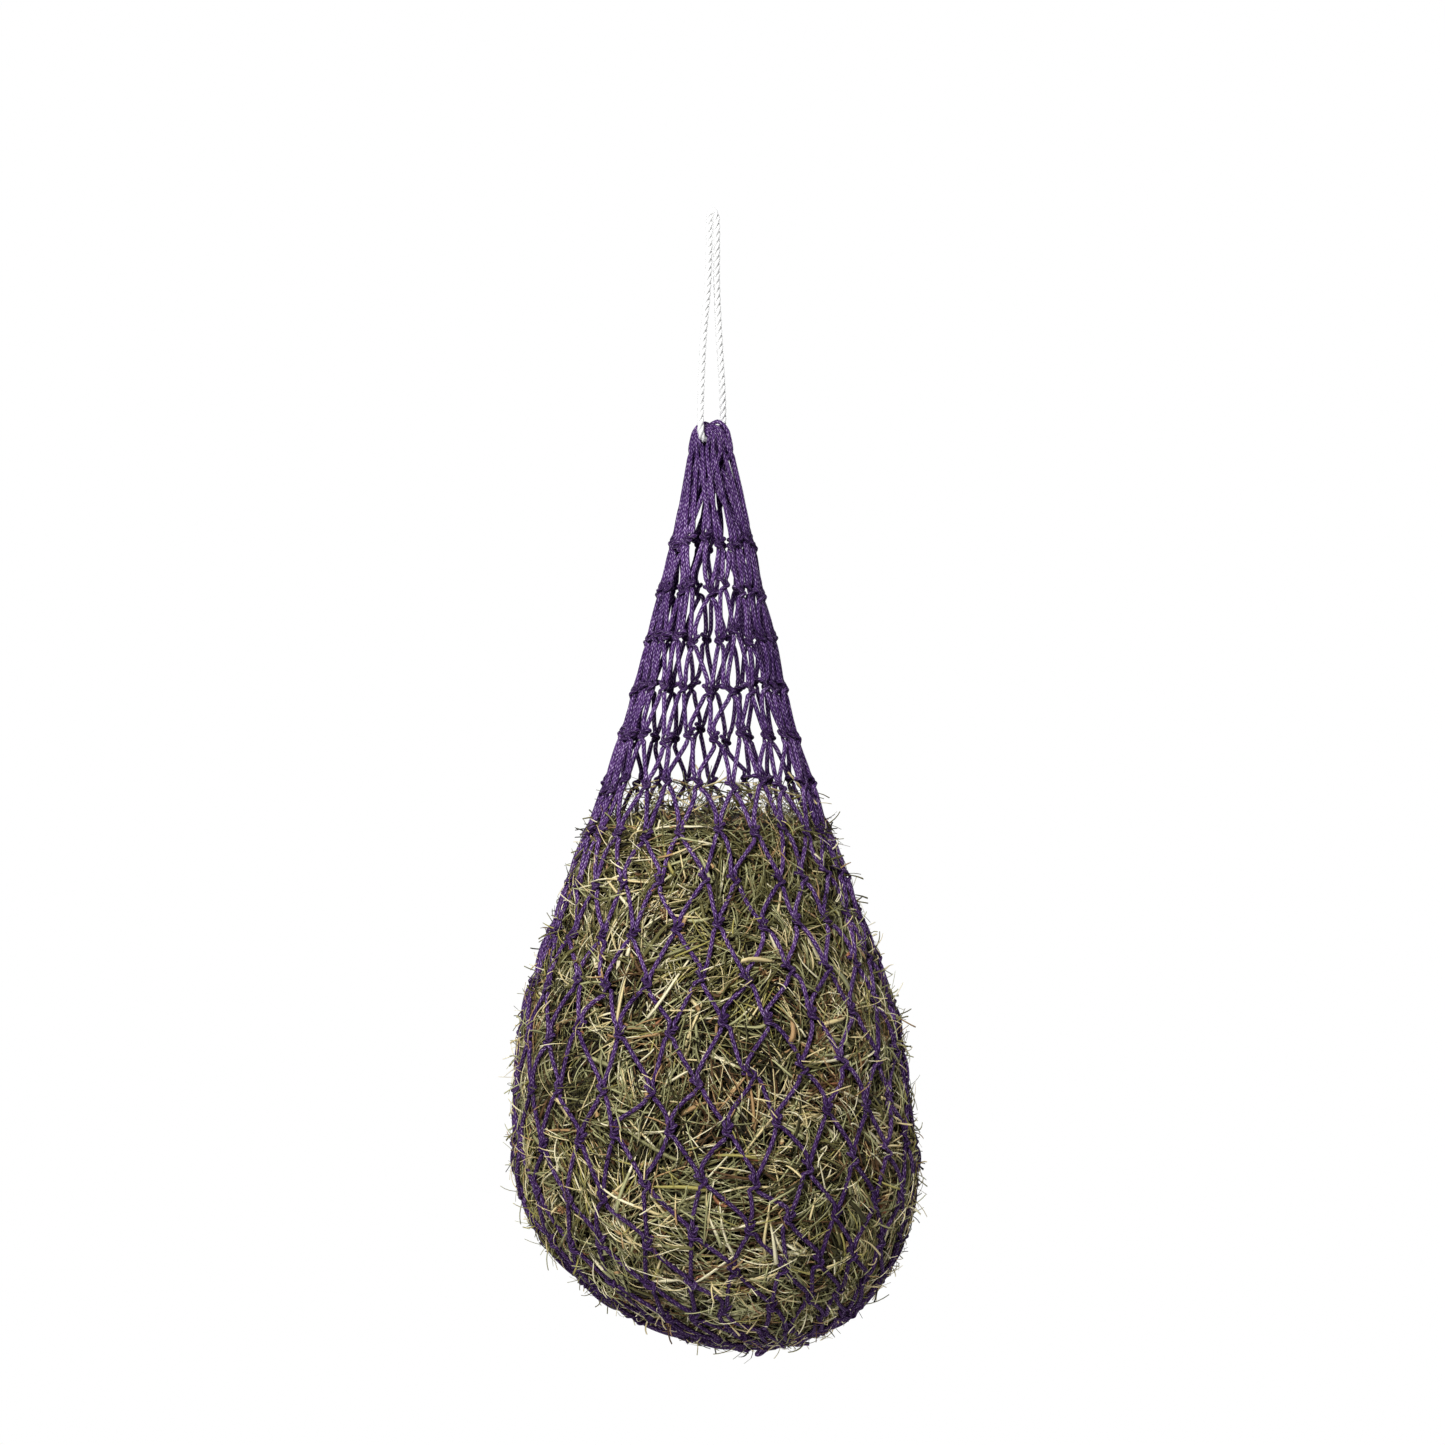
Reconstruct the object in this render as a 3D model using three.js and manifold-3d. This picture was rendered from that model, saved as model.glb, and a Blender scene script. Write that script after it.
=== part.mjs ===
// A filled hay net: a bag of knotted diamond mesh on a rope drawcord.
//
// Millimetres, +Z up. The origin is the hang point, the inside top of the
// drawcord's loop. The bag hangs straight down from it, and its foot leans
// towards +X.
//
// The net is knotted in courses. Each course is one closed round of cord that
// zigzags between two rows of knots, so each is a mesh of its own.

import * as THREE from 'three';
import { mergeVertices } from 'three/addons/utils/BufferGeometryUtils.js';
import Module from 'manifold-3d';

const wasm = await Module();
wasm.setup();

// ---------------------------------------------------------------------------
// Driving dimensions
// ---------------------------------------------------------------------------

// Drawcord: a rope loop. The net's top loops hang on its bottom run.
const ROPE_R = 3;                 // rope radius
const BIGHT_Z = -203;             // height of the run through the top loops
const BIGHT_X = -1;               // middle of that run
const BIGHT_TURN = 68;            // degrees from +X to the run, seen from above
const BIGHT_HALF = 19;            // half of the straight run
const BIGHT_BEND = 8;             // how far past it the strands stand
const ROPE_SIDES = 8;
const ROPE_STEPS = 44;

// Netting
const MESHES = 24;                // meshes around the bag
const COURSES = 18;               // rounds of mesh below the top loops
const NECK_LEG = 42;              // knot to knot, where the cord hangs slack
const BELLY_LEG = 49.5;            // the same where the hay draws the knots tight
const CORD_HALF = 2;              // half the side of the cord's square section
const KNOT_HALF = 2.2;            // half the run of cord across a knot
const GAP = 0.3;                  // clearance between pieces that touch
const FIRST_ROW_Z = -297;         // first row of knots, under the top loops
const PHASE = 4;                  // degrees from the front to the nearest column

// Bag: a neck whose radius grows down to a round belly
const BELLY = new THREE.Vector3(0, 0, -843.6);
const BELLY_R = 180;
const BELLY_DEPTH = 172;          // from the belly's middle down to the foot
const NECK = [[-203, 17], [-297, 35], [-455, 73], [-617, 131], [-725, 168]];
const NECK_BOW = 4.5;             // the neck bows this far towards -X
const FOOT_LEAN = 33;             // the foot stands this far towards +X
const LEAN_FROM_Z = -797;
const LEAN_SPAN = 216;
const ROW_TILT = 7;               // degrees, the belly's rows rise towards +X
const FOOT_TILT = 10;             // the same at the foot

// Crown: the top loops bunched over the rope, and the packed cords under it
const CROWN_SLOTS = 8;            // loops side by side along the rope
const SLOT_PITCH = 4.4;
const CROWN_R = 15.2;             // rope's centre to the top of the bunch
const RIDGE = 1.2;                // every other loop stands this much lower
const CROWN_FOOT_Z = -226;        // the arches reach down to here
const TRUNK = [[-210, 15], [-226, 18.5], [-246, 24], [-266, 28.6]];
const TIGHT_HALF = 1.4;           // half the cord's side where cords are squeezed
const TIGHT_KNOT_HALF = 1.72;

// Foot: the last loops packed round a small ring of cord with two tails
const FOOT_PACK = [8.6, 27.6];    // inner and outer radius of the packed loops
const FOOT_PACK_HALF = 3;         // half its thickness
const FOOT_BARS_R = 26;
const FOOT_RING_R = 6;
const FOOT_RING_CORD = 2.1;
const TAIL_LENGTH = 17;

// Hay
const HAY_INSET = 5.5;            // hay surface inside the cords' centres
const HAY_TOP_Z = -528;
const HAY_RIM_Z = -556;
const HAY_AROUND = 24;
const HAY_LEVELS = 10;

const UP = new THREE.Vector3(0, 0, 1);

// ---------------------------------------------------------------------------
// The bag's surface
// ---------------------------------------------------------------------------

const radians = THREE.MathUtils.degToRad;

const neckCurve = new THREE.SplineCurve([
  ...NECK.map(([z, r]) => new THREE.Vector2(r, z)),
  new THREE.Vector2(BELLY_R, BELLY.z),
]);

// Points down the bag's outline, from the first row of knots to the foot.
function outline() {
  const neck = neckCurve.getPoints(400).filter((p) => p.y <= FIRST_ROW_Z);
  const belly = [];
  for (let angle = 0.25; angle <= 90; angle += 0.25) {
    const a = radians(angle);
    belly.push(new THREE.Vector2(BELLY_R * Math.cos(a), BELLY.z - BELLY_DEPTH * Math.sin(a)));
  }
  return [...neck, ...belly];
}

// Radius of the bag at a height.
function radiusAt(z) {
  if (z < BELLY.z) {
    return BELLY_R * Math.sqrt(Math.max(1 - ((z - BELLY.z) / BELLY_DEPTH) ** 2, 0));
  }
  let low = 0;
  let high = 1;
  for (let i = 0; i < 30; i++) {
    const middle = (low + high) / 2;
    if (neckCurve.getPoint(middle).y > z) low = middle;
    else high = middle;
  }
  return neckCurve.getPoint(low).x;
}

// The bag's centre line leaves the vertical a little in the neck and the foot.
function centreAt(z) {
  const along = THREE.MathUtils.clamp((FIRST_ROW_Z - z) / (FIRST_ROW_Z - BELLY.z), 0, 1);
  const lean = Math.max(LEAN_FROM_Z - z, 0) / LEAN_SPAN;
  return FOOT_LEAN * lean ** 2 - NECK_BOW * Math.sin(Math.PI * along);
}

// Heights and radii of the rows of knots: each row lies one leg below the last.
function rowHeights() {
  const points = outline();
  const rows = [points[0]];
  const halfMesh = Math.PI / MESHES;
  for (const point of points) {
    const last = rows[rows.length - 1];
    const across = last.x ** 2 + point.x ** 2 - 2 * last.x * point.x * Math.cos(halfMesh);
    const leg = THREE.MathUtils.lerp(NECK_LEG, BELLY_LEG, last.x / BELLY_R);
    if (point.y < last.y && across + (last.y - point.y) ** 2 >= leg ** 2) rows.push(point);
  }
  return rows.slice(0, COURSES + 1);
}

const ROWS = rowHeights();

// How far a row of knots is tipped, in radians.
function rowTilt(row) {
  const z = ROWS[row].y;
  const belly = THREE.MathUtils.smoothstep(-z, -ROWS[4].y, -BELLY.z);
  const foot = THREE.MathUtils.clamp((BELLY.z - z) / BELLY_DEPTH, 0, 1);
  return radians(ROW_TILT * belly + (FOOT_TILT - ROW_TILT) * foot);
}

// A knot's place. Odd rows have a knot half a mesh round from the even rows.
function knot(row, column) {
  const around = radians(PHASE - 90) + (2 * Math.PI * (column + (row % 2) / 2)) / MESHES;
  const tilt = rowTilt(row);
  const point = new THREE.Vector3();
  if (ROWS[row].y > BELLY.z) {
    const z = ROWS[row].y + Math.tan(tilt) * ROWS[row].x * Math.cos(around);
    const r = radiusAt(z);
    point.set(r * Math.cos(around), r * Math.sin(around), z);
  } else {
    point.set(ROWS[row].x * Math.cos(around), ROWS[row].x * Math.sin(around), ROWS[row].y);
    point.sub(BELLY).applyAxisAngle(new THREE.Vector3(0, 1, 0), -tilt).add(BELLY);
  }
  point.x += centreAt(point.z);
  return point;
}

// Directions at a knot: along its row, up the bag, and out of the bag.
function knotFrame(row, column) {
  const along = knot(row, column + 1).sub(knot(row, column - 1)).normalize();
  const above = Math.max(row - 1, 0);
  const below = Math.min(row + 1, COURSES);
  const rise = knot(above, column).add(knot(above, column + (row % 2 ? 1 : -1)));
  const fall = knot(below, column).add(knot(below, column + (row % 2 ? 1 : -1)));
  if (above === row) rise.copy(knot(row, column)).multiplyScalar(2);
  if (below === row) fall.copy(knot(row, column)).multiplyScalar(2);
  const up = rise.sub(fall);
  up.addScaledVector(along, -up.dot(along)).normalize();
  return { along, up, out: new THREE.Vector3().crossVectors(along, up) };
}

// The two corners of a cord that runs a short way along a direction.
function corners(middle, along, out, knotHalf = KNOT_HALF, half = CORD_HALF) {
  return [-1, 1].map((way) => ({
    point: middle.clone().addScaledVector(along, way * knotHalf),
    out,
    half,
  }));
}

// The cord's corners at a knot, above its middle (side 1) or below it (side -1).
function knotCorners(row, column, side) {
  const { along, up, out } = knotFrame(row, column);
  const middle = knot(row, column).addScaledVector(up, side * (CORD_HALF + GAP / 2));
  return corners(middle, along, out);
}

// ---------------------------------------------------------------------------
// Solids
// ---------------------------------------------------------------------------

// A closed round of square cord through a list of corners: a torus whose rings
// are moved to the corners and mitred there.
function closedCord(stations) {
  const count = stations.length;
  const geometry = new THREE.TorusGeometry(1, 0.5, 4, count);
  const position = geometry.getAttribute('position');
  const section = [[1, 1], [-1, 1], [-1, -1], [1, -1]];
  for (let side = 0; side <= 4; side++) {
    for (let i = 0; i <= count; i++) {
      const here = stations[i % count];
      const next = stations[(i + 1) % count];
      const last = stations[(i + count - 1) % count];
      const inward = here.point.clone().sub(last.point).normalize();
      const onward = next.point.clone().sub(here.point).normalize();
      const direction = inward.clone().add(onward).normalize();
      const across = new THREE.Vector3().crossVectors(direction, here.out).normalize();
      const out = new THREE.Vector3().crossVectors(across, direction);
      const mitre = 1 / Math.max(direction.dot(onward), 0.4);
      const [a, b] = section[side % 4];
      const point = here.point.clone();
      point.addScaledVector(across, a * here.half * mitre);
      point.addScaledVector(out, b * here.half);
      position.setXYZ(side * (count + 1) + i, point.x, point.y, point.z);
    }
  }
  return geometry;
}

// An open length of cord with a regular section, along a smooth curve.
function openCord(curve, radius, sides, steps) {
  const section = new THREE.Shape();
  for (let i = 0; i < sides; i++) {
    const a = (2 * Math.PI * (i + 0.5)) / sides;
    const place = [radius * Math.cos(a), radius * Math.sin(a)];
    if (i) section.lineTo(...place);
    else section.moveTo(...place);
  }
  return new THREE.ExtrudeGeometry(section, { extrudePath: curve, steps, bevelEnabled: false });
}

function toSolid(geometry) {
  const bare = geometry.clone();
  bare.deleteAttribute('normal');
  bare.deleteAttribute('uv');
  const merged = mergeVertices(bare, 1e-3);
  return new wasm.Manifold(new wasm.Mesh({
    numProp: 3,
    vertProperties: new Float32Array(merged.getAttribute('position').array),
    triVerts: new Uint32Array(merged.getIndex().array),
  }));
}

function toGeometry(solid) {
  const mesh = solid.getMesh();
  const geometry = new THREE.BufferGeometry();
  geometry.setAttribute('position', new THREE.BufferAttribute(mesh.vertProperties, 3));
  geometry.setIndex(new THREE.BufferAttribute(mesh.triVerts, 1));
  geometry.computeVertexNormals();
  return geometry;
}

function joinAll(solids) {
  return solids.reduce((whole, piece) => whole.add(piece));
}

// ---------------------------------------------------------------------------
// Materials
// ---------------------------------------------------------------------------

const cordLook = { color: 0x4b3a63, roughness: 0.8, metalness: 0 };
const ropeLook = { color: 0xf0f0ed, roughness: 0.6, metalness: 0 };
const hayLook = { color: 0x6f6740, roughness: 0.95, metalness: 0 };

const group = new THREE.Group();

function addPart(name, geometry, look) {
  const mesh = new THREE.Mesh(geometry, new THREE.MeshStandardMaterial(look));
  mesh.name = name;
  group.add(mesh);
}

// ---------------------------------------------------------------------------
// Drawcord: from the middle of its run, up over the hang point and back
// ---------------------------------------------------------------------------

const bightMiddle = new THREE.Vector3(BIGHT_X, 0, BIGHT_Z);
const bightWay = new THREE.Vector3(Math.cos(radians(BIGHT_TURN)), Math.sin(radians(BIGHT_TURN)), 0);
const bightSide = new THREE.Vector3().crossVectors(UP, bightWay);

function bightPoint(along, side, height) {
  return bightMiddle.clone()
    .addScaledVector(bightWay, along)
    .addScaledVector(bightSide, side)
    .addScaledVector(UP, height);
}

function drawcordCurve() {
  const end = BIGHT_HALF + BIGHT_BEND;
  const right = [
    bightPoint(GAP, 0, 0),
    bightPoint(BIGHT_HALF / 2, 0, 0),
    bightPoint(BIGHT_HALF, 0, 0),
    bightPoint(BIGHT_HALF + 5, 0, 2),
    bightPoint(end - 0.5, 0, 7),
    bightPoint(end, 0, 14),
    new THREE.Vector3(8.6, 19, -160),
    new THREE.Vector3(5.8, 12, -112),
    new THREE.Vector3(3.4, 5.5, -62),
    new THREE.Vector3(3.4, 1, -28),
    new THREE.Vector3(3.3, 0, -10),
    new THREE.Vector3(2.3, 0, 0.6),
  ];
  const left = [
    new THREE.Vector3(-2.3, 0, 0.6),
    new THREE.Vector3(-3.3, 0, -10),
    new THREE.Vector3(-3.4, -1, -28),
    new THREE.Vector3(-4.4, -5.5, -62),
    new THREE.Vector3(-8.5, -12, -112),
    new THREE.Vector3(-10.6, -19, -160),
    bightPoint(-end, 0, 14),
    bightPoint(-end + 0.5, 0, 7),
    bightPoint(-BIGHT_HALF - 5, 0, 2),
    bightPoint(-BIGHT_HALF, 0, 0),
    bightPoint(-BIGHT_HALF / 2, 0, 0),
    bightPoint(-GAP, 0, 0),
  ];
  return new THREE.CatmullRomCurve3([...right, new THREE.Vector3(0, 0, ROPE_R), ...left]);
}

addPart('drawcord', openCord(drawcordCurve(), ROPE_R, ROPE_SIDES, ROPE_STEPS), ropeLook);

// ---------------------------------------------------------------------------
// Top loops: bunched over the rope, then spreading to the first row of knots
// ---------------------------------------------------------------------------

// One slice of the bunch: an arch over the rope with its hole.
function archSlice(slot) {
  const top = CROWN_R - (slot % 2) * RIDGE;
  const depth = CROWN_FOOT_Z - BIGHT_Z;
  const shape = new THREE.Shape();
  shape.moveTo(top, depth);
  shape.absarc(0, 0, top, 0, Math.PI);
  shape.lineTo(-top, depth);
  const hole = new THREE.Path();
  hole.absarc(0, 0, ROPE_R + 2 * GAP, 0, 2 * Math.PI, true);
  shape.holes.push(hole);
  const options = { depth: SLOT_PITCH + 0.02, curveSegments: 4, bevelEnabled: false };
  const geometry = new THREE.ExtrudeGeometry(shape, options);
  const along = (slot - CROWN_SLOTS / 2) * SLOT_PITCH;
  const place = new THREE.Matrix4().makeBasis(bightSide, UP, bightWay);
  if (place.determinant() < 0) place.makeBasis(bightSide.clone().negate(), UP, bightWay);
  return geometry.applyMatrix4(place.setPosition(bightPoint(along, 0, 0)));
}

function trunk() {
  const profile = [[TRUNK[0][0], 0], ...TRUNK, [TRUNK[TRUNK.length - 1][0], 0]];
  const points = profile.reverse().map(([z, r]) => new THREE.Vector2(r, z));
  const geometry = new THREE.LatheGeometry(points, MESHES);
  return geometry.rotateX(Math.PI / 2).translate(centreAt(FIRST_ROW_Z), 0, 0);
}

function topLoops() {
  const stations = [];
  const [trunkZ, trunkR] = TRUNK[TRUNK.length - 1];
  for (let i = 0; i < MESHES; i++) {
    const a = radians(PHASE - 90) + (2 * Math.PI * (i + 0.5)) / MESHES;
    const out = new THREE.Vector3(Math.cos(a), Math.sin(a), 0);
    const middle = out.clone().multiplyScalar(trunkR - TIGHT_HALF).setZ(trunkZ + 3);
    const along = new THREE.Vector3(-out.y, out.x, 0);
    stations.push(...knotCorners(0, i, 1));
    stations.push(...corners(middle, along, out, TIGHT_KNOT_HALF, TIGHT_HALF));
  }
  const pieces = [toSolid(closedCord(stations)), toSolid(trunk())];
  for (let slot = 0; slot < CROWN_SLOTS; slot++) pieces.push(toSolid(archSlice(slot)));
  return toGeometry(joinAll(pieces));
}

addPart('top_loops', topLoops(), cordLook);

// ---------------------------------------------------------------------------
// Courses of mesh, from the neck to the foot
// ---------------------------------------------------------------------------

for (let course = 1; course <= COURSES; course++) {
  const stations = [];
  for (let i = 0; i < MESHES; i++) {
    const lower = (course - 1) % 2 ? i + 1 : i;
    stations.push(...knotCorners(course - 1, i, -1), ...knotCorners(course, lower, 1));
  }
  addPart(`net_course_${String(course).padStart(2, '0')}`, closedCord(stations), cordLook);
}

// ---------------------------------------------------------------------------
// Foot: the last meshes' loops on a ring of cord, and the ring's two tails
// ---------------------------------------------------------------------------

const footTilt = rowTilt(COURSES);
const footOut = new THREE.Vector3(Math.sin(footTilt), 0, -Math.cos(footTilt));
const footAcross = new THREE.Vector3(0, -1, 0);
const footAlong = new THREE.Vector3().crossVectors(footAcross, footOut);
const footMiddle = BELLY.clone().addScaledVector(footOut, BELLY_DEPTH);
footMiddle.x += centreAt(footMiddle.z);

// A point on the foot: distance and angle from its middle, and height above it.
function footPoint(r, around, height) {
  return footMiddle.clone()
    .addScaledVector(footAlong, r * Math.cos(around))
    .addScaledVector(footAcross, r * Math.sin(around))
    .addScaledVector(footOut, -height);
}

function inFoot(geometry) {
  const turn = new THREE.Matrix4().makeBasis(footAlong, footAcross, footOut);
  return geometry.applyMatrix4(turn.setPosition(footMiddle));
}

function footPack() {
  const [inner, outer] = FOOT_PACK;
  const outline = [
    [inner, -FOOT_PACK_HALF], [outer, -FOOT_PACK_HALF], [outer, FOOT_PACK_HALF],
    [inner, FOOT_PACK_HALF], [inner, -FOOT_PACK_HALF],
  ];
  const points = outline.map(([r, z]) => new THREE.Vector2(r, z));
  return inFoot(new THREE.LatheGeometry(points, MESHES).rotateX(Math.PI / 2));
}

function footLoops() {
  const stations = [];
  for (let i = 0; i < MESHES; i++) {
    stations.push(...knotCorners(COURSES, i, -1));
    const between = knot(COURSES, i).add(knot(COURSES, i + 1)).multiplyScalar(0.5).sub(footMiddle);
    const around = Math.atan2(between.dot(footAcross), between.dot(footAlong));
    const middle = footPoint(FOOT_BARS_R, around, 0);
    const along = footPoint(1, around - Math.PI / 2, 0).sub(footMiddle);
    stations.push(...corners(middle, along, footOut, TIGHT_KNOT_HALF, TIGHT_HALF));
  }
  return toGeometry(toSolid(closedCord(stations)).add(toSolid(footPack())));
}

addPart('foot_loops', footLoops(), cordLook);

function footCord() {
  const ring = inFoot(new THREE.TorusGeometry(FOOT_RING_R, FOOT_RING_CORD, 6, 16));
  const tails = [0.4, 2.6].map((around) => {
    const curve = new THREE.CatmullRomCurve3([
      footPoint(FOOT_RING_R, around, 0),
      footPoint(FOOT_RING_R + 1, around, -0.35 * TAIL_LENGTH),
      footPoint(FOOT_RING_R + 5, around, -0.6 * TAIL_LENGTH),
      footPoint(FOOT_RING_R + 9, around + 0.3, -0.55 * TAIL_LENGTH),
    ]);
    return toSolid(openCord(curve, FOOT_RING_CORD * 0.9, 6, 5));
  });
  return toGeometry(joinAll([toSolid(ring), ...tails]));
}

addPart('foot_cord', footCord(), cordLook);

// ---------------------------------------------------------------------------
// Hay: fills the bag up to the neck
// ---------------------------------------------------------------------------

function hayFill() {
  const points = [new THREE.Vector2(0, HAY_TOP_Z)];
  const rim = radiusAt(HAY_RIM_Z) - HAY_INSET;
  points.push(new THREE.Vector2(0.55 * rim, HAY_TOP_Z - 4));
  points.push(new THREE.Vector2(0.88 * rim, HAY_TOP_Z - 14));
  const foot = BELLY.z - BELLY_DEPTH + HAY_INSET;
  const inside = (BELLY_R - HAY_INSET) / BELLY_R;
  const shallow = (BELLY_DEPTH - HAY_INSET) / BELLY_DEPTH;
  for (let i = 0; i < HAY_LEVELS; i++) {
    const swing = (0.5 * Math.PI * i) / HAY_LEVELS;
    const z = HAY_RIM_Z + (foot - HAY_RIM_Z) * Math.sin(swing);
    const low = inside * radiusAt(BELLY.z + (z - BELLY.z) / shallow);
    points.push(new THREE.Vector2(z > BELLY.z ? radiusAt(z) - HAY_INSET : low, z));
  }
  points.push(new THREE.Vector2(0, foot));
  const geometry = new THREE.LatheGeometry(points.reverse(), HAY_AROUND).rotateX(Math.PI / 2);
  const position = geometry.getAttribute('position');
  for (let i = 0; i < position.count; i++) {
    position.setX(i, position.getX(i) + centreAt(position.getZ(i)));
  }
  return geometry;
}

addPart('hay_fill', hayFill(), hayLook);

export default group;
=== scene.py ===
"""A filled hay net: purple knotted netting, a white rope drawcord and the hay inside.

Lengths are in millimetres, as in the CAD source, and turned to metres when a mesh is made.
The lights and the floor are placed in metres.
"""

import math

import bpy
import numpy as np
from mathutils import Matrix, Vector


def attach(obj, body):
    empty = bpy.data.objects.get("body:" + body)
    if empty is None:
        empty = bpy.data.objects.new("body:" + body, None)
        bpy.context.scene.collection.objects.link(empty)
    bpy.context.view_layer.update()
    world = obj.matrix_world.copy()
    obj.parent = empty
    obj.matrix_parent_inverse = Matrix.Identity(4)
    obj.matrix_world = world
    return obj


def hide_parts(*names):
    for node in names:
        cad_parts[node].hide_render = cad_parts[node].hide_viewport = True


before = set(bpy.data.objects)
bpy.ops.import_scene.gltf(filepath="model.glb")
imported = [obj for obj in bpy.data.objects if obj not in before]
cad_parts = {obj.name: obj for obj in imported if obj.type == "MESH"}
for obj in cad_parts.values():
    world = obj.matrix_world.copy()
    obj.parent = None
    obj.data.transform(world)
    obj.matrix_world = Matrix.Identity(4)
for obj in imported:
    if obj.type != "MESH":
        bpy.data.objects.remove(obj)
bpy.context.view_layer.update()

MM = 0.001
rng = np.random.default_rng(24)

# ---- Driving dimensions, the same as the CAD source's ----

ROPE_R = 3.0
BIGHT = np.array([-1.0, 0.0, -203.0])   # middle of the rope's run through the top loops
BIGHT_TURN = math.radians(68)           # the way of that run, seen from above
BIGHT_HALF, BIGHT_BEND = 19.0, 8.0      # half its length, and how far the bends reach past it

MESHES, COURSES = 24, 18
NECK_LEG, BELLY_LEG = 42.0, 49.5        # side of a mesh where the bag is narrowest and widest
FIRST_ROW_Z = -297.0
PHASE = math.radians(4)                 # how far the pattern is turned round the bag

BELLY_Z, BELLY_R = -843.6, 180.0        # the widest place
BELLY_DEPTH = 172.0                     # from there down to the foot
NECK = [(-203, 17), (-297, 35), (-455, 73), (-617, 131), (-725, 168)]   # heights and radii above it
NECK_BOW = 4.5                          # how far the middle of the neck stands to the left
FOOT_LEAN, LEAN_FROM_Z, LEAN_SPAN = 33.0, -797.0, 216.0   # the foot leans right: how far, from where down
ROW_TILT, FOOT_TILT = math.radians(7), math.radians(10)

CORD_R = 2.1            # braided cord where it hangs slack
KNOT_CORD_R = 1.5       # the same cord where a knot squeezes it
FILLED_THINNING = 0.06  # how much thinner the cord is where the hay stretches it
CORD_SIDES = 10
BRAID_PITCH = 4.2       # from one plait to the next along the cord
PLAITS_AROUND = 6       # columns of plaits round the cord, leaning one way and the other in turn
PLAIT_SLOPE = 5.0       # how steeply a plait leans, in radians of the pattern for each column
KNOT_PAINTED_SHADE = 0.58    # painted shade in a knot's squeezed wraps: how much darker the cord is there
FOOT_PAINTED_SHADE = 1.35    # how fast painted shade darkens the cord towards the foot, until it's as dark as a knot
FOOT_PAINTED_SHADE_FROM_Z = -640.0   # below here the cord gets more and more painted shade

HAY_TOP_Z = -548.0


# ---- The bag's surface ----

def unit(v):
    return v / np.maximum(np.linalg.norm(v, axis=-1, keepdims=True), 1e-9)


def ease(x):
    """From 0 to 1, slow at both ends."""
    x = np.clip(x, 0, 1)
    return x * x * (3 - 2 * x)


def distances(points):
    """How far along its path each point lies."""
    return np.concatenate([[0], np.cumsum(np.linalg.norm(np.diff(points, axis=0), axis=1))])


def spline_point(points, t):
    """A point of a uniform Catmull-Rom spline through points, t from 0 to 1."""
    p = (len(points) - 1) * t
    i = min(int(p), len(points) - 2)
    w = p - i
    p0, p1 = points[max(i - 1, 0)], points[i]
    p2, p3 = points[i + 1], points[min(i + 2, len(points) - 1)]
    v0, v1 = (p2 - p0) / 2, (p3 - p1) / 2
    a = 2 * p1 - 2 * p2 + v0 + v1
    b = -3 * p1 + 3 * p2 - 2 * v0 - v1
    return ((a * w + b) * w + v0) * w + p1


def bag_outline():
    """Radius and height down the bag's side, from the rope to the foot."""
    stations = [np.array([r, z], float) for z, r in NECK] + [np.array([BELLY_R, BELLY_Z])]
    neck = [spline_point(stations, t) for t in np.linspace(0, 1, 401)]
    angles = np.radians(np.arange(0.25, 90.01, 0.25))
    belly = [[BELLY_R * math.cos(a), BELLY_Z - BELLY_DEPTH * math.sin(a)] for a in angles]
    return np.array(neck + belly)


OUTLINE = bag_outline()
OUTLINE_R, OUTLINE_Z = OUTLINE.T
OUTLINE_S = distances(OUTLINE)


def radius_at(s):
    return np.interp(s, OUTLINE_S, OUTLINE_R)


def radius_at_height(z):
    return np.interp(-z, -OUTLINE_Z, OUTLINE_R)


def station_at_height(z):
    """How far down the bag's side a height is."""
    return float(np.interp(-z, -OUTLINE_Z, OUTLINE_S))


def row_stations():
    """Distance down the outline of each row of knots: each lies one leg below the last."""
    first = int(np.argmax(OUTLINE_Z <= FIRST_ROW_Z))
    rows = [first]
    for i in range(first, len(OUTLINE)):
        r, z = OUTLINE[rows[-1]]
        across = r ** 2 + OUTLINE_R[i] ** 2 - 2 * r * OUTLINE_R[i] * math.cos(math.pi / MESHES)
        leg_length = NECK_LEG + (BELLY_LEG - NECK_LEG) * r / BELLY_R
        if OUTLINE_Z[i] < z and across + (z - OUTLINE_Z[i]) ** 2 >= leg_length ** 2:
            rows.append(i)
    return OUTLINE_S[rows[:COURSES + 1]]


ROW_S = row_stations()
FOOT_S = OUTLINE_S[-1]
TILT_FROM_Z = float(np.interp(ROW_S[4], OUTLINE_S, OUTLINE_Z))


def centre_at(z):
    """The middle of the bag at a height: the neck bows and the foot leans."""
    along = np.clip((FIRST_ROW_Z - z) / (FIRST_ROW_Z - BELLY_Z), 0, 1)
    lean = np.maximum(LEAN_FROM_Z - z, 0) / LEAN_SPAN
    return FOOT_LEAN * lean ** 2 - NECK_BOW * np.sin(math.pi * along)


def tilt_at(z):
    """How far the rows tilt at a height."""
    foot = np.clip((BELLY_Z - z) / BELLY_DEPTH, 0, 1)
    return ROW_TILT * ease((TILT_FROM_Z - z) / (TILT_FROM_Z - BELLY_Z)) + (FOOT_TILT - ROW_TILT) * foot


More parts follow.
